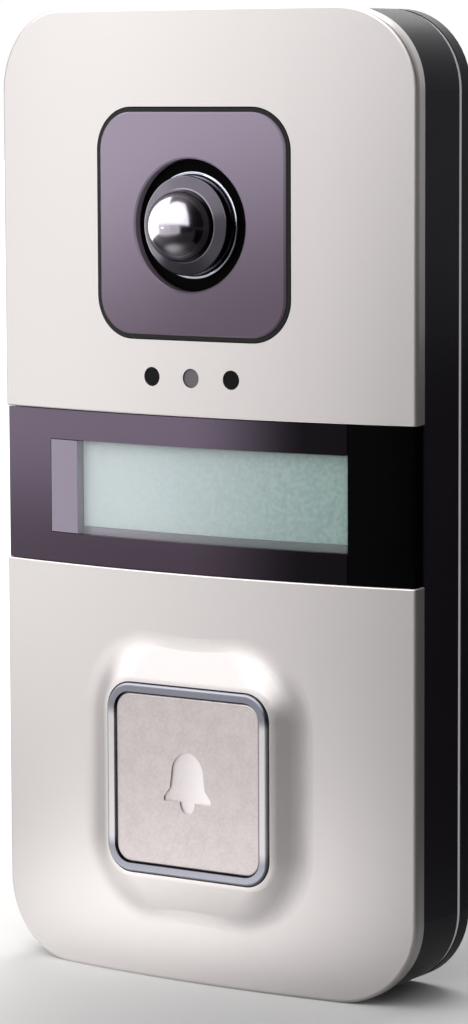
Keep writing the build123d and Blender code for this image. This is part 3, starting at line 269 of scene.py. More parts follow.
class StageSettings(bpy.types.PropertyGroup):
    """The floor, the lamps and the camera."""

    floor_colour: bpy.props.FloatVectorProperty(
        name="Floor colour", description="Colour of the pale floor", subtype="COLOR", size=4,
        default=linear("#f0efee"))
    key_power: bpy.props.FloatProperty(
        name="Key power", description="Power of the wide lamp above the front", unit="POWER", default=8.0)
    side_power: bpy.props.FloatProperty(
        name="Side power", description="Power of the lamp at the left", unit="POWER", default=0.4)
    dome_light: bpy.props.FloatProperty(
        name="Dome light", description="Brightness of the soft boxes that the dome mirrors", default=9.0)
    rear_power: bpy.props.FloatProperty(
        name="Rear power", description="Power of the lamp behind, which shades the floor in front",
        unit="POWER", default=9.0)
    lens: bpy.props.FloatProperty(
        name="Lens", description="Focal length of the camera, in millimetres", unit="CAMERA", default=132.71)


class DOORSTATION_OT_stage(bpy.types.Operator):
    """Set the floor, the lamps, the sky and the camera"""

    bl_idname = "doorstation.stage"
    bl_label = "Stage"

    def execute(self, context):
        settings = context.scene.station_stage
        add_floor(settings)
        add_sky()
        add_flag("front_flag", start=-7, end=62, reach=0.55, high=0.1)
        add_flag("side_flag", start=62, end=165, reach=0.15, high=0.03)
        add_lamp("key_lamp", settings.key_power, size=(1.9, 0.8), turn=-22, rise=45, distance=0.78)
        add_lamp("side_lamp", settings.side_power, size=(0.8, 0.55), turn=-62, rise=12, distance=0.85)
        add_lamp("rear_lamp", settings.rear_power, size=(0.7, 0.7), turn=-160, rise=58, distance=1.2)
        add_dome_lamps(settings.dome_light)
        add_camera(settings)
        return {"FINISHED"}


def add_floor(settings):
    """Pale floor that carries the station's lower end."""
    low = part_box("lower_front_plate")[0].z
    bpy.ops.object.select_all(action="DESELECT")
    bpy.ops.mesh.primitive_plane_add(size=12.0, location=(0, 0, low))
    floor = bpy.context.object
    floor.name = "floor"
    bpy.ops.object.transform_apply(location=True, rotation=True, scale=True)
    floor.data.materials.append(matt_board(settings.floor_colour))


def matt_board(colour):
    """Matt white board: as white as the sky far away; close by it keeps the station's shadow, and has a
    painted shadow and a painted glow in gloss.
    """
    material, tree, shader = new_material("pale_matt_floor")
    place = add_node(tree, "ShaderNodeTexCoord").outputs["Object"]
    reach = add_node(tree, "ShaderNodeVectorMath", {0: place}, operation="LENGTH").outputs["Value"]
    axes = add_node(tree, "ShaderNodeSeparateXYZ", {0: place}).outputs
    rays = add_node(tree, "ShaderNodeLightPath").outputs
    # What changes over the floor: its start and end in metres from the frame's middle, and its
    # value at each
    parts = {}
    for name, along, start, end, low, high in (
            # It glows far away, where it meets the sky
            ("glow", reach, 0.1, 0.9, 0.0, 1.0),
            # Painted reflection light in gloss: it falls off to the right, where a dark card stands, and
            # behind the front
            ("side", axes["X"], -0.6, 0.12, 0.7, 0.0),
            ("near", reach, 0.08, 0.18, 6.0, 0.0),
            ("lean", axes["X"], -0.06, 0.06, 1.0, 0.1),
            ("ahead", axes["Y"], -0.12, -0.03, 1.0, 0.1),
            # Painted shadow: the paper is grey under the station and at its right, paler outwards and to the
            # left
            ("outwards", reach, 0.07, 0.3, 0.0, 1.0),
            ("painted_shadow_beside", axes["X"], -0.07, 0.04, 0.8, 0.0)):
        parts[name] = add_node(
            tree, "ShaderNodeMapRange",
            {"Value": along, "From Min": start, "From Max": end, "To Min": low, "To Max": high},
            interpolation_type="SMOOTHSTEP").outputs["Result"]
    # The glow in gloss, a painted reflection light, strongest close by, at the left and in front
    gloss = add_node(
        tree, "ShaderNodeMath", {0: parts["near"], 1: parts["lean"]}, operation="MULTIPLY").outputs[0]
    gloss = add_node(tree, "ShaderNodeMath", {0: parts["side"], 1: gloss}, operation="ADD").outputs[0]
    gloss = add_node(tree, "ShaderNodeMath", {0: gloss, 1: parts["ahead"]}, operation="MULTIPLY").outputs[0]
    pale = add_node(
        tree, "ShaderNodeMath", {0: parts["outwards"], 1: parts["painted_shadow_beside"]}, operation="ADD",
        use_clamp=True).outputs[0]
    # The paper's painted shadow: grey under the station and at its right
    paper = add_node(
        tree, "ShaderNodeMix", {MIX_FACTOR: pale, MIX_A: linear("#bfbfbf"), MIX_B: colour},
        data_type="RGBA").outputs[MIX_RESULT]
    # Painted shade in reflections: where it gives off little in gloss, its colour is darkened for gloss too
    dark = add_node(
        tree, "ShaderNodeMath", {0: 0.85, 1: gloss}, operation="SUBTRACT", use_clamp=True).outputs[0]
    dark = add_node(
        tree, "ShaderNodeMath", {0: rays["Is Glossy Ray"], 1: dark}, operation="MULTIPLY").outputs[0]
    tone = add_node(
        tree, "ShaderNodeMix", {MIX_FACTOR: dark, MIX_A: paper, MIX_B: linear("#000000")},
        data_type="RGBA").outputs[MIX_RESULT]
    gloss = add_node(
        tree, "ShaderNodeMath", {0: rays["Is Glossy Ray"], 1: gloss}, operation="MULTIPLY").outputs[0]
    seen = add_node(
        tree, "ShaderNodeMath", {0: rays["Is Camera Ray"], 1: rays["Is Transmission Ray"]},
        operation="MAXIMUM").outputs[0]
    seen = add_node(tree, "ShaderNodeMath", {0: seen, 1: parts["glow"]}, operation="MULTIPLY").outputs[0]
    strength = add_node(tree, "ShaderNodeMath", {0: seen, 1: gloss}, operation="MAXIMUM").outputs[0]
    set_up(shader, {
        "Base Color": tone, "Roughness": 0.9, "Emission Color": WHITE, "Emission Strength": strength})
    return material


def add_dome_lamps(light):
    """Upright soft boxes close by that light the dome alone, bright at its left and dim at its foot."""
    shown = bpy.data.collections.new("dome_only")
    shown.objects.link(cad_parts["lens_dome"])
    corner, far_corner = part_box("lens_dome")
    middle = (corner + far_corner) / 2
    for name, (share, left, right, low, high) in DOME_LAMPS.items():
        turn = math.radians((left + right) / 2)
        away = Vector((math.sin(turn), -math.cos(turn), 0))
        foot = DOME_LAMP_REACH * math.tan(math.radians(low))
        head = DOME_LAMP_REACH * math.tan(math.radians(high))
        bpy.ops.object.light_add(type="AREA", location=(0, 0, 0))
        lamp = bpy.context.object
        lamp.name = name
        lamp.data.shape = "RECTANGLE"
        lamp.data.size = 2 * DOME_LAMP_REACH * math.tan(math.radians((right - left) / 2))
        lamp.data.size_y = head - foot
        lamp.data.energy = math.pi * lamp.data.size * lamp.data.size_y * light * share
        lamp.visible_camera = False
        lamp.location = middle + DOME_LAMP_REACH * away + Vector((0, 0, (head + foot) / 2))
        lamp.rotation_euler = (-away).to_track_quat("-Z", "Y").to_euler()
        lamp.light_linking.receiver_collection = shown


def add_flag(name, start, end, reach, high):
    """A black card that only gloss sees, up to a height, between two angles to the right of the front."""
    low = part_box("lower_front_plate")[0].z
    bpy.ops.object.select_all(action="DESELECT")
    bpy.ops.mesh.primitive_plane_add(size=1.0, location=(0, 0, 0))
    flag = bpy.context.object
    flag.name = name
    for vertex in flag.data.vertices:
        turn = math.radians(start if vertex.co.x < 0 else end)
        edge = reach * Vector((math.sin(turn), -math.cos(turn), 0))
        vertex.co = (edge.x, edge.y, low if vertex.co.y < 0 else high)
    # Black velvet: it takes up all light
    material, _, shader = new_material("black_velvet_flag")
    set_up(shader, {"Base Color": linear("#050505"), "Roughness": 1.0, "Specular IOR Level": 0.0})
    flag.data.materials.append(material)
    flag.visible_camera = False
    flag.visible_diffuse = False
    flag.visible_transmission = False
    flag.visible_shadow = False


def add_sky():
    """Even sky: soft grey light, white where the camera looks at it, darker to the right in gloss."""
    world = bpy.data.worlds.new("studio_sky")
    bpy.context.scene.world = world
    world.use_nodes = True
    tree = world.node_tree
    rays = add_node(tree, "ShaderNodeLightPath").outputs
    place = add_node(tree, "ShaderNodeTexCoord").outputs["Generated"]
    across = add_node(tree, "ShaderNodeSeparateXYZ", {"Vector": place}).outputs["X"]
    card = add_node(
        tree, "ShaderNodeMapRange",
        {"Value": across, "From Min": -0.35, "From Max": 0.75, "To Min": 1.2, "To Max": 0.02},
        interpolation_type="SMOOTHSTEP").outputs["Result"]
    edge = add_node(
        tree, "ShaderNodeMapRange", {"Value": across, "From Min": -1.0, "From Max": -0.75, "To Min": 0.15},
        interpolation_type="SMOOTHSTEP").outputs["Result"]
    card = add_node(tree, "ShaderNodeMath", {0: card, 1: edge}, operation="MULTIPLY").outputs[0]
    gloss = add_node(
        tree, "ShaderNodeMath", {0: rays["Is Glossy Ray"], 1: card}, operation="MULTIPLY").outputs[0]
    soft = add_node(
        tree, "ShaderNodeMath", {0: rays["Is Diffuse Ray"], 1: 0.3}, operation="MULTIPLY").outputs[0]
    strength = add_node(
        tree, "ShaderNodeMath", {0: rays["Is Camera Ray"], 1: rays["Is Transmission Ray"]},
        operation="MAXIMUM").outputs[0]
    for light in (gloss, soft):
        strength = add_node(
            tree, "ShaderNodeMath", {0: strength, 1: light}, operation="MAXIMUM").outputs[0]
    set_up(tree.nodes["Background"], {"Color": WHITE, "Strength": strength})


def add_lamp(name, power, size, turn, rise, distance):
    """A flat lamp that faces the station, at degrees to the right of its front and above its middle."""
    turn = math.radians(turn)
    rise = math.radians(rise)
    away = Vector((math.sin(turn) * math.cos(rise), -math.cos(turn) * math.cos(rise), math.sin(rise)))
    bpy.ops.object.light_add(type="AREA", location=distance * away)
    lamp = bpy.context.object
    lamp.name = name
    lamp.data.shape = "RECTANGLE"
    lamp.data.size = size[0]
    lamp.data.size_y = size[1]
    lamp.data.energy = power
    lamp.visible_camera = False
    lamp.rotation_euler = (-away).to_track_quat("-Z", "Y").to_euler()


def add_camera(settings):
    """Camera at the photograph's angle."""
    yaw = math.radians(33.663)
    pitch = math.radians(6.476)
    roll = math.radians(-0.243)
    distance = 0.6858
    target = Vector((6.51 * MM, -19.8 * MM, -1.8 * MM))
    forward = Vector((-math.sin(yaw) * math.cos(pitch), math.cos(yaw) * math.cos(pitch), -math.sin(pitch)))
    right = Vector((math.cos(yaw), math.sin(yaw), 0))
    up = right.cross(forward)
    side = math.cos(roll) * right + math.sin(roll) * up
    top = math.cos(roll) * up - math.sin(roll) * right
    bpy.ops.object.camera_add()
    camera = bpy.context.object
    camera.name = "camera"
    place = target - distance * forward
    rows = [(side[axis], top[axis], -forward[axis], place[axis]) for axis in range(3)]
    camera.matrix_world = Matrix([*rows, (0, 0, 0, 1)])
    camera.data.lens = settings.lens
    camera.data.sensor_width = 36.0
    camera.data.clip_start = 0.01
    bpy.context.scene.camera = camera


class FrontSettings(bpy.types.PropertyGroup):
    """The silver front plates."""

    silver: bpy.props.FloatVectorProperty(
        name="Silver", description="Colour of the painted front plates", subtype="COLOR", size=4,
        default=linear("#d2cdcc"))
    flake: bpy.props.FloatProperty(
        name="Flake size", description="Size at which the flakes are drawn", unit="LENGTH", default=0.3 * MM)


class DOORSTATION_OT_front(bpy.types.Operator):
    """Paint the two silver plates"""

    bl_idname = "doorstation.front"
    bl_label = "Silver front"

    def execute(self, context):
        settings = context.scene.station_front
        paint(silver_paint(settings.silver, settings.flake), "upper_front_plate", "lower_front_plate")
        return {"FINISHED"}


def silver_paint(colour, flake):
    """Fine aluminium flake in lacquer on a die-cast plate: a soft metal sheen with a faint sparkle."""
    material, tree, shader = new_material("silver_metallic_paint")
    place = add_node(tree, "ShaderNodeTexCoord").outputs["Object"]
    # Flakes are 0.03 mm; they are drawn ten times as coarse so that the sparkle shows
    flakes = add_node(
        tree, "ShaderNodeTexVoronoi", {"Vector": place, "Scale": 1 / flake}).outputs["Distance"]
    gloss = add_node(
        tree, "ShaderNodeMapRange", {"Value": flakes, "To Min": 0.36, "To Max": 0.44},
        interpolation_type="SMOOTHSTEP").outputs["Result"]
    bump = add_node(tree, "ShaderNodeBump", {"Height": flakes, "Distance": 0.003 * MM}).outputs["Normal"]
    set_up(shader, {"Base Color": colour, "Metallic": 0.85, "Roughness": gloss, "Normal": bump})
    return material


class BandSettings(bpy.types.PropertyGroup):
    """The band across the front with its name label."""

    # The cover's painted reflection has this colour at its left
    smoke: bpy.props.FloatVectorProperty(
        name="Smoke", description="Colour of the smoked cover at its left", subtype="COLOR", size=4,
        default=linear("#695e6e"))
    # The card's colour at its left, where its painted light is brightest
    card: bpy.props.FloatVectorProperty(
        name="Card", description="Colour of the lit name card", subtype="COLOR", size=4,
        default=linear("#bdc9cc"))


class DOORSTATION_OT_band(bpy.types.Operator):
    """Finish the band: cover, plain end, clear pane, name card, its holder and the light guide"""

    bl_idname = "doorstation.band"
    bl_label = "Band and label"

    def execute(self, context):
        settings = context.scene.station_band
        paint(smoked_acrylic(settings.smoke), "label_cover")
        paint(plain_finish("black_acrylic_polished"), "band_infill")
        paint(card_stock(settings.card), "name_card")
        paint(tray_plastic(), "label_tray")
        paint(plain_finish("clear_acrylic_polished"), "label_window")
        paint(plain_finish("frosted_acrylic_guide"), "light_guide")
        return {"FINISHED"}


def smoked_acrylic(colour):
    """Smoked acrylic, polished, with a painted reflection: it fades to black at its right and a little
    downwards.
    """
    material, tree, shader = new_material("smoked_acrylic_polished")
    place = add_node(tree, "ShaderNodeTexCoord").outputs["Object"]
    axes = add_node(tree, "ShaderNodeSeparateXYZ", {"Vector": place}).outputs
    # Painted reflection: paler at the top and the left, darker downwards and black at the right
    rise = add_node(
        tree, "ShaderNodeMapRange", {"Value": axes["Z"], "From Min": -12 * MM, "From Max": 14 * MM},
        interpolation_type="SMOOTHSTEP").outputs["Result"]
    painted_light_fade = add_node(
        tree, "ShaderNodeMapRange", {"Value": axes["X"], "From Min": -3 * MM, "From Max": 24 * MM},
        interpolation_type="SMOOTHSTEP").outputs["Result"]
    smoke = add_node(
        tree, "ShaderNodeMix", {MIX_FACTOR: rise, MIX_A: linear("#423843"), MIX_B: colour},
        data_type="RGBA").outputs[MIX_RESULT]
    tone = add_node(
        tree, "ShaderNodeMix", {MIX_FACTOR: painted_light_fade, MIX_A: smoke, MIX_B: linear("#060607")},
        data_type="RGBA").outputs[MIX_RESULT]
    set_up(shader, {
        "Base Color": tone, "Roughness": 0.12, "Specular IOR Level": 0.15,
        "Specular Tint": linear("#dcc4e2")})
    return material


def tray_plastic():
    """Moulded grey polycarbonate: lilac grey at the tab, and along the ledge a painted shade, dark teal in
    the card's light.
    """
    material, tree, shader = new_material("grey_polycarbonate_moulded")
    place = add_node(tree, "ShaderNodeTexCoord").outputs["Object"]
    across = add_node(tree, "ShaderNodeSeparateXYZ", {"Vector": place}).outputs["X"]
    # Painted shade: darker teal towards the right, along the ledge
    painted_light_fade = add_node(
        tree, "ShaderNodeMapRange", {"Value": across, "From Min": -27 * MM, "From Max": 24 * MM},
        interpolation_type="SMOOTHSTEP").outputs["Result"]
    tone = add_node(
        tree, "ShaderNodeMix", {MIX_FACTOR: painted_light_fade, MIX_A: linear("#897f91"), MIX_B: linear("#1c3032")},
        data_type="RGBA").outputs[MIX_RESULT]
    set_up(shader, {"Base Color": tone, "Roughness": 0.3})
    return material


def card_stock(colour):
    """Uncoated white card lit from behind, with faint fibres; its light is painted: brighter to the left,
    darker teal towards the right.
    """
    material, tree, shader = new_material("white_card_uncoated")
    place = add_node(tree, "ShaderNodeTexCoord").outputs["Object"]
    across = add_node(tree, "ShaderNodeSeparateXYZ", {"Vector": place}).outputs["X"]
    # Painted light: brighter to the left, fading to a darker teal at the right
    painted_light_fade = add_node(
        tree, "ShaderNodeMapRange", {"Value": across, "From Min": -20 * MM, "From Max": 34 * MM},
        interpolation_type="SMOOTHSTEP").outputs["Result"]
    # Fibres are about 0.8 mm long
    fibres = add_node(
        tree, "ShaderNodeTexNoise",
        {"Vector": place, "Scale": 1 / (0.8 * MM), "Detail": 3.0}).outputs["Fac"]
    fibres = add_node(
        tree, "ShaderNodeMapRange", {"Value": fibres, "From Min": 0.35, "From Max": 0.65, "To Max": 0.08},
        interpolation_type="SMOOTHSTEP").outputs["Result"]
    tone = add_node(
        tree, "ShaderNodeMix", {MIX_FACTOR: painted_light_fade, MIX_A: colour, MIX_B: linear("#628882")},
        data_type="RGBA").outputs[MIX_RESULT]
    tone = add_node(
        tree, "ShaderNodeMix", {MIX_FACTOR: fibres, MIX_A: tone, MIX_B: WHITE},
        data_type="RGBA").outputs[MIX_RESULT]
    set_up(shader, {"Base Color": tone, "Roughness": 0.8})
    return material


class CameraSettings(bpy.types.PropertyGroup):
    """The camera window and the dome."""

    # The two ends of the window's painted reflection: paler at its top, darker at its foot
    window_top: bpy.props.FloatVectorProperty(
        name="Window, top", description="Colour of the tinted window at its top", subtype="COLOR", size=4,
        default=linear("#948a9a"))
    window_foot: bpy.props.FloatVectorProperty(
        name="Window, foot", description="Colour of the tinted window at its foot", subtype="COLOR", size=4,
        default=linear("#574c58"))


class DOORSTATION_OT_camera(bpy.types.Operator):
    """Finish the camera window, its gasket, the ring, the dome and the camera inside"""

    bl_idname = "doorstation.camera"
    bl_label = "Camera"

    def execute(self, context):
        settings = context.scene.station_camera
        paint(tinted_acrylic(settings.window_top, settings.window_foot), "camera_window")
        paint(plain_finish("black_rubber_moulded"), "window_gasket")
        # The trench round the lens has a painted shade
        paint(plain_finish("black_abs_painted_shade"), "lens_surround")
        paint(plain_finish("bright_chrome_plate"), "lens_ring")
        paint(metallised_smoke(), "lens_dome")
        paint(plain_finish("black_abs_moulded"), "camera_bracket", "camera_yoke", "lens_holder")
        paint(plain_finish("black_anodised_aluminium"), "lens_barrel")
        paint(plain_finish("coated_optical_glass"), "front_lens")
        return {"FINISHED"}


def tinted_acrylic(top, foot):
    """Grey-violet tinted acrylic, polished, with a painted reflection: paler at its top, darker towards its
    foot.
    """
    material, tree, shader = new_material("tinted_acrylic_polished")
    place = add_node(tree, "ShaderNodeTexCoord").outputs["Object"]
    # Painted reflection: paler at the top, darker towards the foot, along a slant
    tilt = add_node(
        tree, "ShaderNodeVectorMath", {0: place, 1: (-0.35, 0.0, 1.0)},
        operation="DOT_PRODUCT").outputs["Value"]
    painted_light_fade = add_node(
        tree, "ShaderNodeMapRange", {"Value": tilt, "From Min": 26 * MM, "From Max": 72 * MM},
        interpolation_type="SMOOTHSTEP").outputs["Result"]
    tone = add_node(
        tree, "ShaderNodeMix", {MIX_FACTOR: painted_light_fade, MIX_A: foot, MIX_B: top},
        data_type="RGBA").outputs[MIX_RESULT]
    set_up(shader, {"Base Color": tone, "Roughness": 0.14, "Specular Tint": linear("#dcc4e2")})
    return material


def metallised_smoke():
    """Smoked polycarbonate, thinly metallised: black but for the lamps, and duller on its shoulder."""
    material, tree, shader = new_material("smoked_polycarbonate_metallised")
    low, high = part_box("lens_dome")
    middle = ((low.x + high.x) / 2, 0, (low.z + high.z) / 2)
    place = add_node(tree, "ShaderNodeTexCoord").outputs["Object"]
    flat = add_node(
        tree, "ShaderNodeVectorMath", {0: place, 1: (1, 0, 1)}, operation="MULTIPLY").outputs["Vector"]
    reach = add_node(
        tree, "ShaderNodeVectorMath", {0: flat, 1: middle}, operation="DISTANCE").outputs["Value"]
    # The ball meets its shoulder between 6.3 and 6.9 mm from the axis
    shoulder = add_node(
        tree, "ShaderNodeMapRange", {"Value": reach, "From Min": 6.3 * MM, "From Max": 6.9 * MM},
        interpolation_type="SMOOTHSTEP").outputs["Result"]
    tone = add_node(
        tree, "ShaderNodeMix", {MIX_FACTOR: shoulder, MIX_A: linear("#5a575c"), MIX_B: linear("#222024")},
        data_type="RGBA").outputs[MIX_RESULT]
    set_up(shader, {"Base Color": tone, "Metallic": 1.0, "Roughness": 0.18})
    return material


class DOORSTATION_OT_lights(bpy.types.Operator):
    """Finish the two lights, the light sensor and the chips behind them"""

    bl_idname = "doorstation.lights"
    bl_label = "Lights and sensor"

    def execute(self, context):
        paint(plain_finish("dark_tinted_light_pipe"), "light_pipes")
        paint(plain_finish("frosted_sensor_pipe"), "sensor_pipe")
        paint(plain_finish("white_led_package"), "backlight_leds", "illumination_leds")
        paint(plain_finish("sensor_epoxy"), "light_sensor")
        return {"FINISHED"}


class ButtonSettings(bpy.types.PropertyGroup):
    """The call button."""

    satin: bpy.props.FloatVectorProperty(
        name="Satin", description="Colour of the blasted button", subtype="COLOR", size=4,
        default=linear("#c5bcbc"))


class DOORSTATION_OT_button(bpy.types.Operator):
    """Finish the call button, its frame, its stop and its switch"""

    bl_idname = "doorstation.button"
    bl_label = "Call button"

    def execute(self, context):
        paint(dark_chrome(), "button_frame")
        paint(blasted_satin(context.scene.station_button.satin), "call_button")
        paint(plain_finish("black_rubber_moulded"), "button_bumper")
        paint(plain_finish("black_epoxy_moulded"), "tact_switch")
        paint(plain_finish("white_nylon_moulded"), "switch_plunger")
        return {"FINISHED"}


def dark_chrome():
    """Dark chrome plate: cool and dark, with a painted reflection of the silver that makes the straight
    sides paler.
    """
    material, tree, shader = new_material("dark_chrome_plate")
    low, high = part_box("button_frame")
    middle = ((low.x + high.x) / 2, 0, (low.z + high.z) / 2)
    place = add_node(tree, "ShaderNodeTexCoord").outputs["Object"]
    away = add_node(
        tree, "ShaderNodeVectorMath", {0: place, 1: middle}, operation="SUBTRACT").outputs["Vector"]
    away = add_node(tree, "ShaderNodeVectorMath", {0: away}, operation="ABSOLUTE").outputs["Vector"]
    axes = add_node(tree, "ShaderNodeSeparateXYZ", {"Vector": away}).outputs
    # The ring's sides lie 16 mm and more from its middle, and run straight to 12.6 mm above and below it
    side = add_node(
        tree, "ShaderNodeMapRange", {"Value": axes["X"], "From Min": 15.4 * MM, "From Max": 15.9 * MM},
        interpolation_type="SMOOTHSTEP").outputs["Result"]
    straight = add_node(
        tree, "ShaderNodeMapRange",
        {"Value": axes["Z"], "From Min": 11.0 * MM, "From Max": 13.5 * MM, "To Min": 1.0, "To Max": 0.0},
        interpolation_type="SMOOTHSTEP").outputs["Result"]
    # Painted reflection: the straight sides are paler and rougher
    pale = add_node(tree, "ShaderNodeMath", {0: side, 1: straight}, operation="MULTIPLY").outputs[0]
    tone = add_node(
        tree, "ShaderNodeMix", {MIX_FACTOR: pale, MIX_A: linear("#8b8c96"), MIX_B: linear("#c6c3c5")},
        data_type="RGBA").outputs[MIX_RESULT]
    gloss = add_node(
        tree, "ShaderNodeMapRange", {"Value": pale, "To Min": 0.28, "To Max": 0.5},
        interpolation_type="SMOOTHSTEP").outputs["Result"]
    set_up(shader, {"Base Color": tone, "Metallic": 1.0, "Roughness": gloss})
    return material


def blasted_satin(colour):
    """Bead-blasted, satin-lacquered metal: many small dimples that mottle the light, and a painted highlight
    in the engraved bell.
    """
    material, tree, shader = new_material("satin_blasted_silver")
    low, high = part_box("call_button")
    middle = ((low.x + high.x) / 2, low.y, (low.z + high.z) / 2)
    place = add_node(tree, "ShaderNodeTexCoord").outputs["Object"]
    axes = add_node(tree, "ShaderNodeSeparateXYZ", {"Vector": place}).outputs
    reach = add_node(
        tree, "ShaderNodeVectorMath", {0: place, 1: middle}, operation="DISTANCE").outputs["Value"]
    # Dimples are 0.1 mm; they are drawn at 0.45 mm so that the mottle shows, in patches of 2.5 mm
    dimples = add_node(
        tree, "ShaderNodeTexNoise",
        {"Vector": place, "Scale": 1 / (0.45 * MM), "Detail": 3.0}).outputs["Fac"]
    patches = add_node(
        tree, "ShaderNodeTexNoise",
        {"Vector": place, "Scale": 1 / (2.5 * MM), "Detail": 2.0}).outputs["Fac"]
    shares = {}
    for name, along, start, end, least, most in (
            ("mottle", dimples, 0.3, 0.7, 0.0, 0.35),
            ("patches", patches, 0.35, 0.65, 0.0, 0.12),
            # Painted highlight: the floor of the engraved bell, 0.35 mm down, is paler towards its right
            # edge
            ("inside", reach, 7.5 * MM, 8.0 * MM, 1.0, 0.0),
            ("engraved", axes["Y"], low.y + 0.15 * MM, low.y + 0.3 * MM, 0.0, 1.0),
            ("shine", axes["X"], -5 * MM, 5 * MM, 0.15, 1.0)):
        shares[name] = add_node(
            tree, "ShaderNodeMapRange",
            {"Value": along, "From Min": start, "From Max": end, "To Min": least, "To Max": most},
            interpolation_type="SMOOTHSTEP").outputs["Result"]
    # The bell's painted highlight: its floor, paler towards the right
    bell = shares["inside"]
    for name in ("engraved", "shine"):
        bell = add_node(tree, "ShaderNodeMath", {0: bell, 1: shares[name]}, operation="MULTIPLY").outputs[0]
    tone = colour
    for share, other in ((shares["mottle"], "#a89ea0"), (shares["patches"], "#e4dede"), (bell, "#ece6e6")):
        tone = add_node(
            tree, "ShaderNodeMix", {MIX_FACTOR: share, MIX_A: tone, MIX_B: linear(other)},
            data_type="RGBA").outputs[MIX_RESULT]
    bump = add_node(tree, "ShaderNodeBump", {"Height": dimples, "Distance": 0.012 * MM}).outputs["Normal"]
    set_up(shader, {"Base Color": tone, "Metallic": 0.7, "Roughness": 0.42, "Normal": bump})
    return material


class DOORSTATION_OT_housing(bpy.types.Operator):
    """Finish the housing, the wall plate, the inner frame and their seals"""

    bl_idname = "doorstation.housing"
    bl_label = "Housing"

    def execute(self, context):
        paint(plain_finish("black_abs_moulded"), "wall_plate", "rear_housing", "front_carrier")
        paint(plain_finish("grey_foam_seal"), "rear_seal")
        paint(plain_finish("black_rubber_moulded"), "front_gasket")
        return {"FINISHED"}


class DOORSTATION_OT_board(bpy.types.Operator):
    """Finish the circuit boards, what they carry and the wire terminals"""

    bl_idname = "doorstation.board"
    bl_label = "Boards"

    def execute(self, context):
        paint(solder_mask(), "main_board", "sensor_board")
        paint(plain_finish("black_epoxy_moulded"), "door_relay")
        paint(plain_finish("ferrite_sintered"), "choke_coil")
        paint(plain_finish("tin_plated_steel"), "shield_can")
        paint(plain_finish("drawn_aluminium_can"), "capacitors")
        paint(plain_finish("cream_nylon"), "board_sockets")
        paint(plain_finish("green_polyamide"), "terminal_block")
        return {"FINISHED"}


def solder_mask():
    """Green solder mask over copper: glossy, with the gaps between long tracks showing lighter."""
    material, tree, shader = new_material("green_solder_mask_over_copper")
    place = add_node(tree, "ShaderNodeTexCoord").outputs["Object"]
    # The board lies across X and Z, so these are turned into the plane that the tracks are drawn in;
    # the tracks are 1.27 mm apart and up to 19 mm long
    flat = add_node(
        tree, "ShaderNodeMapping", {"Vector": place, "Rotation": (math.pi / 2, 0, 0)}).outputs["Vector"]
    tracks = add_node(tree, "ShaderNodeTexBrick", {
        "Vector": flat, "Scale": 1 / MM, "Mortar Size": 0.16, "Mortar Smooth": 0.3, "Brick Width": 19.0,
        "Row Height": 1.27, "Color1": linear("#0a3d22"), "Color2": linear("#0d4427"),
        "Mortar": linear("#1a6238")})
    set_up(shader, {"Base Color": tracks.outputs["Color"], "Roughness": 0.25})
    return material


class PartSettings(bpy.types.PropertyGroup):
    """The small parts on the back of the circuit board."""

    chip_side: bpy.props.FloatProperty(
        name="Chip side", description="Side of the square line chip", unit="LENGTH", default=7 * MM)
    lead_pitch: bpy.props.FloatProperty(
        name="Lead pitch", description="Distance from lead to lead of the chip", unit="LENGTH",
        default=1 * MM)
    pin_pitch: bpy.props.FloatProperty(
        name="Pin pitch", description="Distance from pin to pin in a socket", unit="LENGTH",
        default=1.25 * MM)


class DOORSTATION_OT_line_chip(bpy.types.Operator):
    """Add the square chip that shows through the cable opening, with its bent leads"""

    bl_idname = "doorstation.line_chip"
    bl_label = "Line chip"

    def execute(self, context):
        settings = context.scene.station_parts
        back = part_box("main_board")[1].y
        middle = Vector((-9 * MM, back, -34 * MM))
        half = settings.chip_side / 2
        body = new_block(
            "line_chip", middle + Vector((-half, 0.1 * MM, -half)), middle + Vector((half, 1.3 * MM, half)))
        bpy.ops.object.mode_set(mode="EDIT")
        pick_faces(lambda place, normal: normal.y > FACING)
        bpy.ops.mesh.inset(thickness=0.25 * MM, depth=0.15 * MM)
        bpy.ops.object.mode_set(mode="OBJECT")
        rounded(body, 0.06 * MM)
        finished(body, plain_finish("black_epoxy_moulded"))
        lead = chip_lead(middle, half)
        # As many leads on a side as fit between its corners
        count = int((settings.chip_side - 1 * MM) / settings.lead_pitch)
        steps = [(number - (count - 1) / 2) * settings.lead_pitch for number in range(count)]
        places = []
        for quarter in range(4):
            turn = Matrix.Translation(middle) @ Matrix.Rotation(quarter * math.pi / 2, 4, "Y")
            turn = turn @ Matrix.Translation(-middle)
            places += [turn @ Matrix.Translation((0, 0, step)) for step in steps]
        finished(repeated(lead, places), plain_finish("tinned_copper_lead"))
        return {"FINISHED"}


def chip_lead(middle, half):
    """One gull-wing lead: out of the body, down to the board and out again."""
    low = middle + Vector((half - 0.1 * MM, 0.5 * MM, -0.2 * MM))
    high = middle + Vector((half + 0.2 * MM, 0.7 * MM, 0.2 * MM))
    lead = new_block("line_chip_leads", low, high)
    bpy.ops.object.mode_set(mode="EDIT")
    pick_faces(lambda place, normal: normal.x > FACING)
    for move in ((0.15 * MM, -0.05 * MM, 0), (0.15 * MM, -0.45 * MM, 0), (0.45 * MM, 0, 0)):
        bpy.ops.mesh.extrude_region_move(TRANSFORM_OT_translate={"value": move})
    bpy.ops.object.mode_set(mode="OBJECT")
    return lead


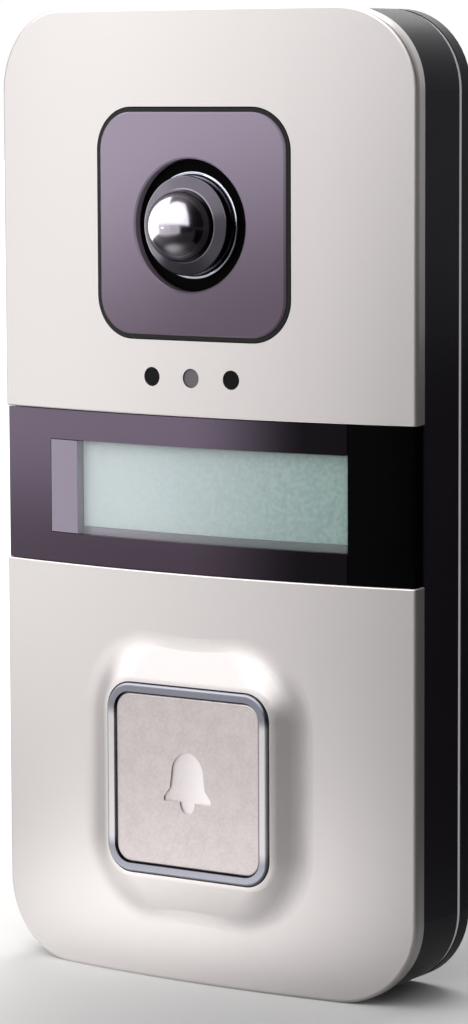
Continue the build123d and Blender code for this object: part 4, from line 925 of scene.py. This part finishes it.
class DOORSTATION_OT_small_parts(bpy.types.Operator):
    """Add the small ceramic parts round the chip, with their tinned ends, and the gold test pads"""

    bl_idname = "doorstation.small_parts"
    bl_label = "Small parts"

    def execute(self, context):
        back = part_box("main_board")[1].y
        # Two rows of four above and below the chip, and two columns of five beside it, in millimetres
        rows = [(x, z) for z in (-25.5, -42.5) for x in (-13.5, -10.5, -7.5, -4.5)]
        rows += [(x, z) for z in (-27, -30, -33, -36, -39) for x in (4, 8)]
        places = [Matrix.Translation((x * MM, 0, z * MM)) for x, z in rows]
        body = new_block(
            "ceramic_parts",
            (-0.45 * MM, back + 0.02 * MM, -0.4 * MM), (0.45 * MM, back + 0.5 * MM, 0.4 * MM))
        rounded(body, 0.04 * MM)
        cap = new_block(
            "ceramic_part_ends",
            (0.45 * MM, back, -0.43 * MM), (0.8 * MM, back + 0.54 * MM, 0.43 * MM))
        rounded(cap, 0.08 * MM)
        # The other end's cap, 1.25 mm along
        cap = repeated(cap, [Matrix(), Matrix.Translation((-1.25 * MM, 0, 0))])
        finished(repeated(body, places), plain_finish("tan_ceramic_fired"))
        finished(repeated(cap, places), plain_finish("tinned_copper_lead"))
        bpy.ops.object.select_all(action="DESELECT")
        bpy.ops.mesh.primitive_cylinder_add(
            vertices=20, radius=0.8 * MM, depth=0.08 * MM, location=(14 * MM, back + 0.04 * MM, -27 * MM),
            rotation=(math.pi / 2, 0, 0))
        bpy.ops.object.transform_apply(location=True, rotation=True, scale=True)
        pads = bpy.context.object
        pads.name = "test_pads"
        bpy.ops.object.mode_set(mode="EDIT")
        pick_faces(lambda place, normal: normal.y > FACING)
        bpy.ops.mesh.inset(thickness=0.15 * MM, depth=-0.03 * MM)
        bpy.ops.object.mode_set(mode="OBJECT")
        # Five pads in a column, 3 mm apart
        places = [Matrix.Translation((0, 0, -3 * number * MM)) for number in range(5)]
        finished(repeated(pads, places), plain_finish("gold_flash_plate"))
        return {"FINISHED"}


class DOORSTATION_OT_pins(bpy.types.Operator):
    """Add the gold pins in the three sockets"""

    bl_idname = "doorstation.pins"
    bl_label = "Socket pins"

    def execute(self, context):
        pitch = context.scene.station_parts.pin_pitch
        board_low, board_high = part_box("main_board")
        foot = board_high.y + 0.8 * MM
        lower = board_low.z + 8 * MM
        upper = board_high.z - 5 * MM
        # Middle of each socket, across and up
        sockets = ((-16 * MM, lower), (16 * MM, lower), (-8 * MM, upper))
        half = 0.2 * MM
        pin = new_block("socket_pins", (-half, foot, -half), (half, foot + 1.6 * MM, half))
        bpy.ops.object.mode_set(mode="EDIT")
        pick_faces(lambda place, normal: normal.y > FACING)
        bpy.ops.mesh.extrude_region_move(TRANSFORM_OT_translate={"value": (0, 0.4 * MM, 0)})
        bpy.ops.transform.resize(value=(0.4, 1, 0.4))
        bpy.ops.object.mode_set(mode="OBJECT")
        # Five pins in each socket, the third in its middle
        places = [
            Matrix.Translation((x + (number - 2) * pitch, 0, z)) for x, z in sockets for number in range(5)]
        finished(repeated(pin, places), plain_finish("gold_flash_plate"))
        return {"FINISHED"}


class DOORSTATION_OT_sound(bpy.types.Operator):
    """Finish the speaker and the microphone"""

    bl_idname = "doorstation.sound"
    bl_label = "Speaker and microphone"

    def execute(self, context):
        paint(plain_finish("black_abs_moulded"), "speaker_frame")
        paint(plain_finish("black_paper_cone"), "speaker_cone")
        paint(plain_finish("black_rubber_moulded"), "speaker_gasket", "microphone_boot")
        paint(plain_finish("drawn_aluminium_can"), "microphone")
        return {"FINISHED"}


class DOORSTATION_OT_screws(bpy.types.Operator):
    """Finish all screws"""

    bl_idname = "doorstation.screws"
    bl_label = "Screws"

    def execute(self, context):
        paint(
            plain_finish("zinc_plated_steel"), "terminal_screws", "housing_screws", "board_screws",
            "bracket_screws", "locking_screw")
        return {"FINISHED"}


class DOORSTATION_PT_panel(bpy.types.Panel):
    """Pieces of the door station"""

    bl_idname = "DOORSTATION_PT_panel"
    bl_label = "Video door station"
    bl_space_type = "VIEW_3D"
    bl_region_type = "UI"
    bl_category = "Door station"

    def draw(self, context):
        for operator in OPERATORS:
            self.layout.operator(operator.bl_idname)
        for group in SETTINGS:
            settings = getattr(context.scene, group)
            for name in settings.__annotations__:
                self.layout.prop(settings, name)


SETTINGS = {
    "station_stage": StageSettings,
    "station_front": FrontSettings,
    "station_band": BandSettings,
    "station_camera": CameraSettings,
    "station_button": ButtonSettings,
    "station_parts": PartSettings,
}
OPERATORS = (
    DOORSTATION_OT_stage,
    DOORSTATION_OT_front,
    DOORSTATION_OT_band,
    DOORSTATION_OT_camera,
    DOORSTATION_OT_lights,
    DOORSTATION_OT_button,
    DOORSTATION_OT_housing,
    DOORSTATION_OT_board,
    DOORSTATION_OT_line_chip,
    DOORSTATION_OT_small_parts,
    DOORSTATION_OT_pins,
    DOORSTATION_OT_sound,
    DOORSTATION_OT_screws,
)


def register():
    for kind in (*SETTINGS.values(), *OPERATORS, DOORSTATION_PT_panel):
        bpy.utils.register_class(kind)
    for group, kind in SETTINGS.items():
        setattr(bpy.types.Scene, group, bpy.props.PointerProperty(type=kind))


def unregister():
    for group in SETTINGS:
        delattr(bpy.types.Scene, group)
    for kind in reversed((*SETTINGS.values(), *OPERATORS, DOORSTATION_PT_panel)):
        bpy.utils.unregister_class(kind)


def main():
    """Builds the whole scene."""
    register()
    bpy.ops.doorstation.stage()
    bpy.ops.doorstation.front()
    bpy.ops.doorstation.band()
    bpy.ops.doorstation.camera()
    bpy.ops.doorstation.lights()
    bpy.ops.doorstation.button()
    bpy.ops.doorstation.housing()
    bpy.ops.doorstation.board()
    bpy.ops.doorstation.line_chip()
    bpy.ops.doorstation.small_parts()
    bpy.ops.doorstation.pins()
    bpy.ops.doorstation.sound()
    bpy.ops.doorstation.screws()
    bpy.context.scene.view_settings.view_transform = "Standard"


if __name__ == "__main__":
    main()
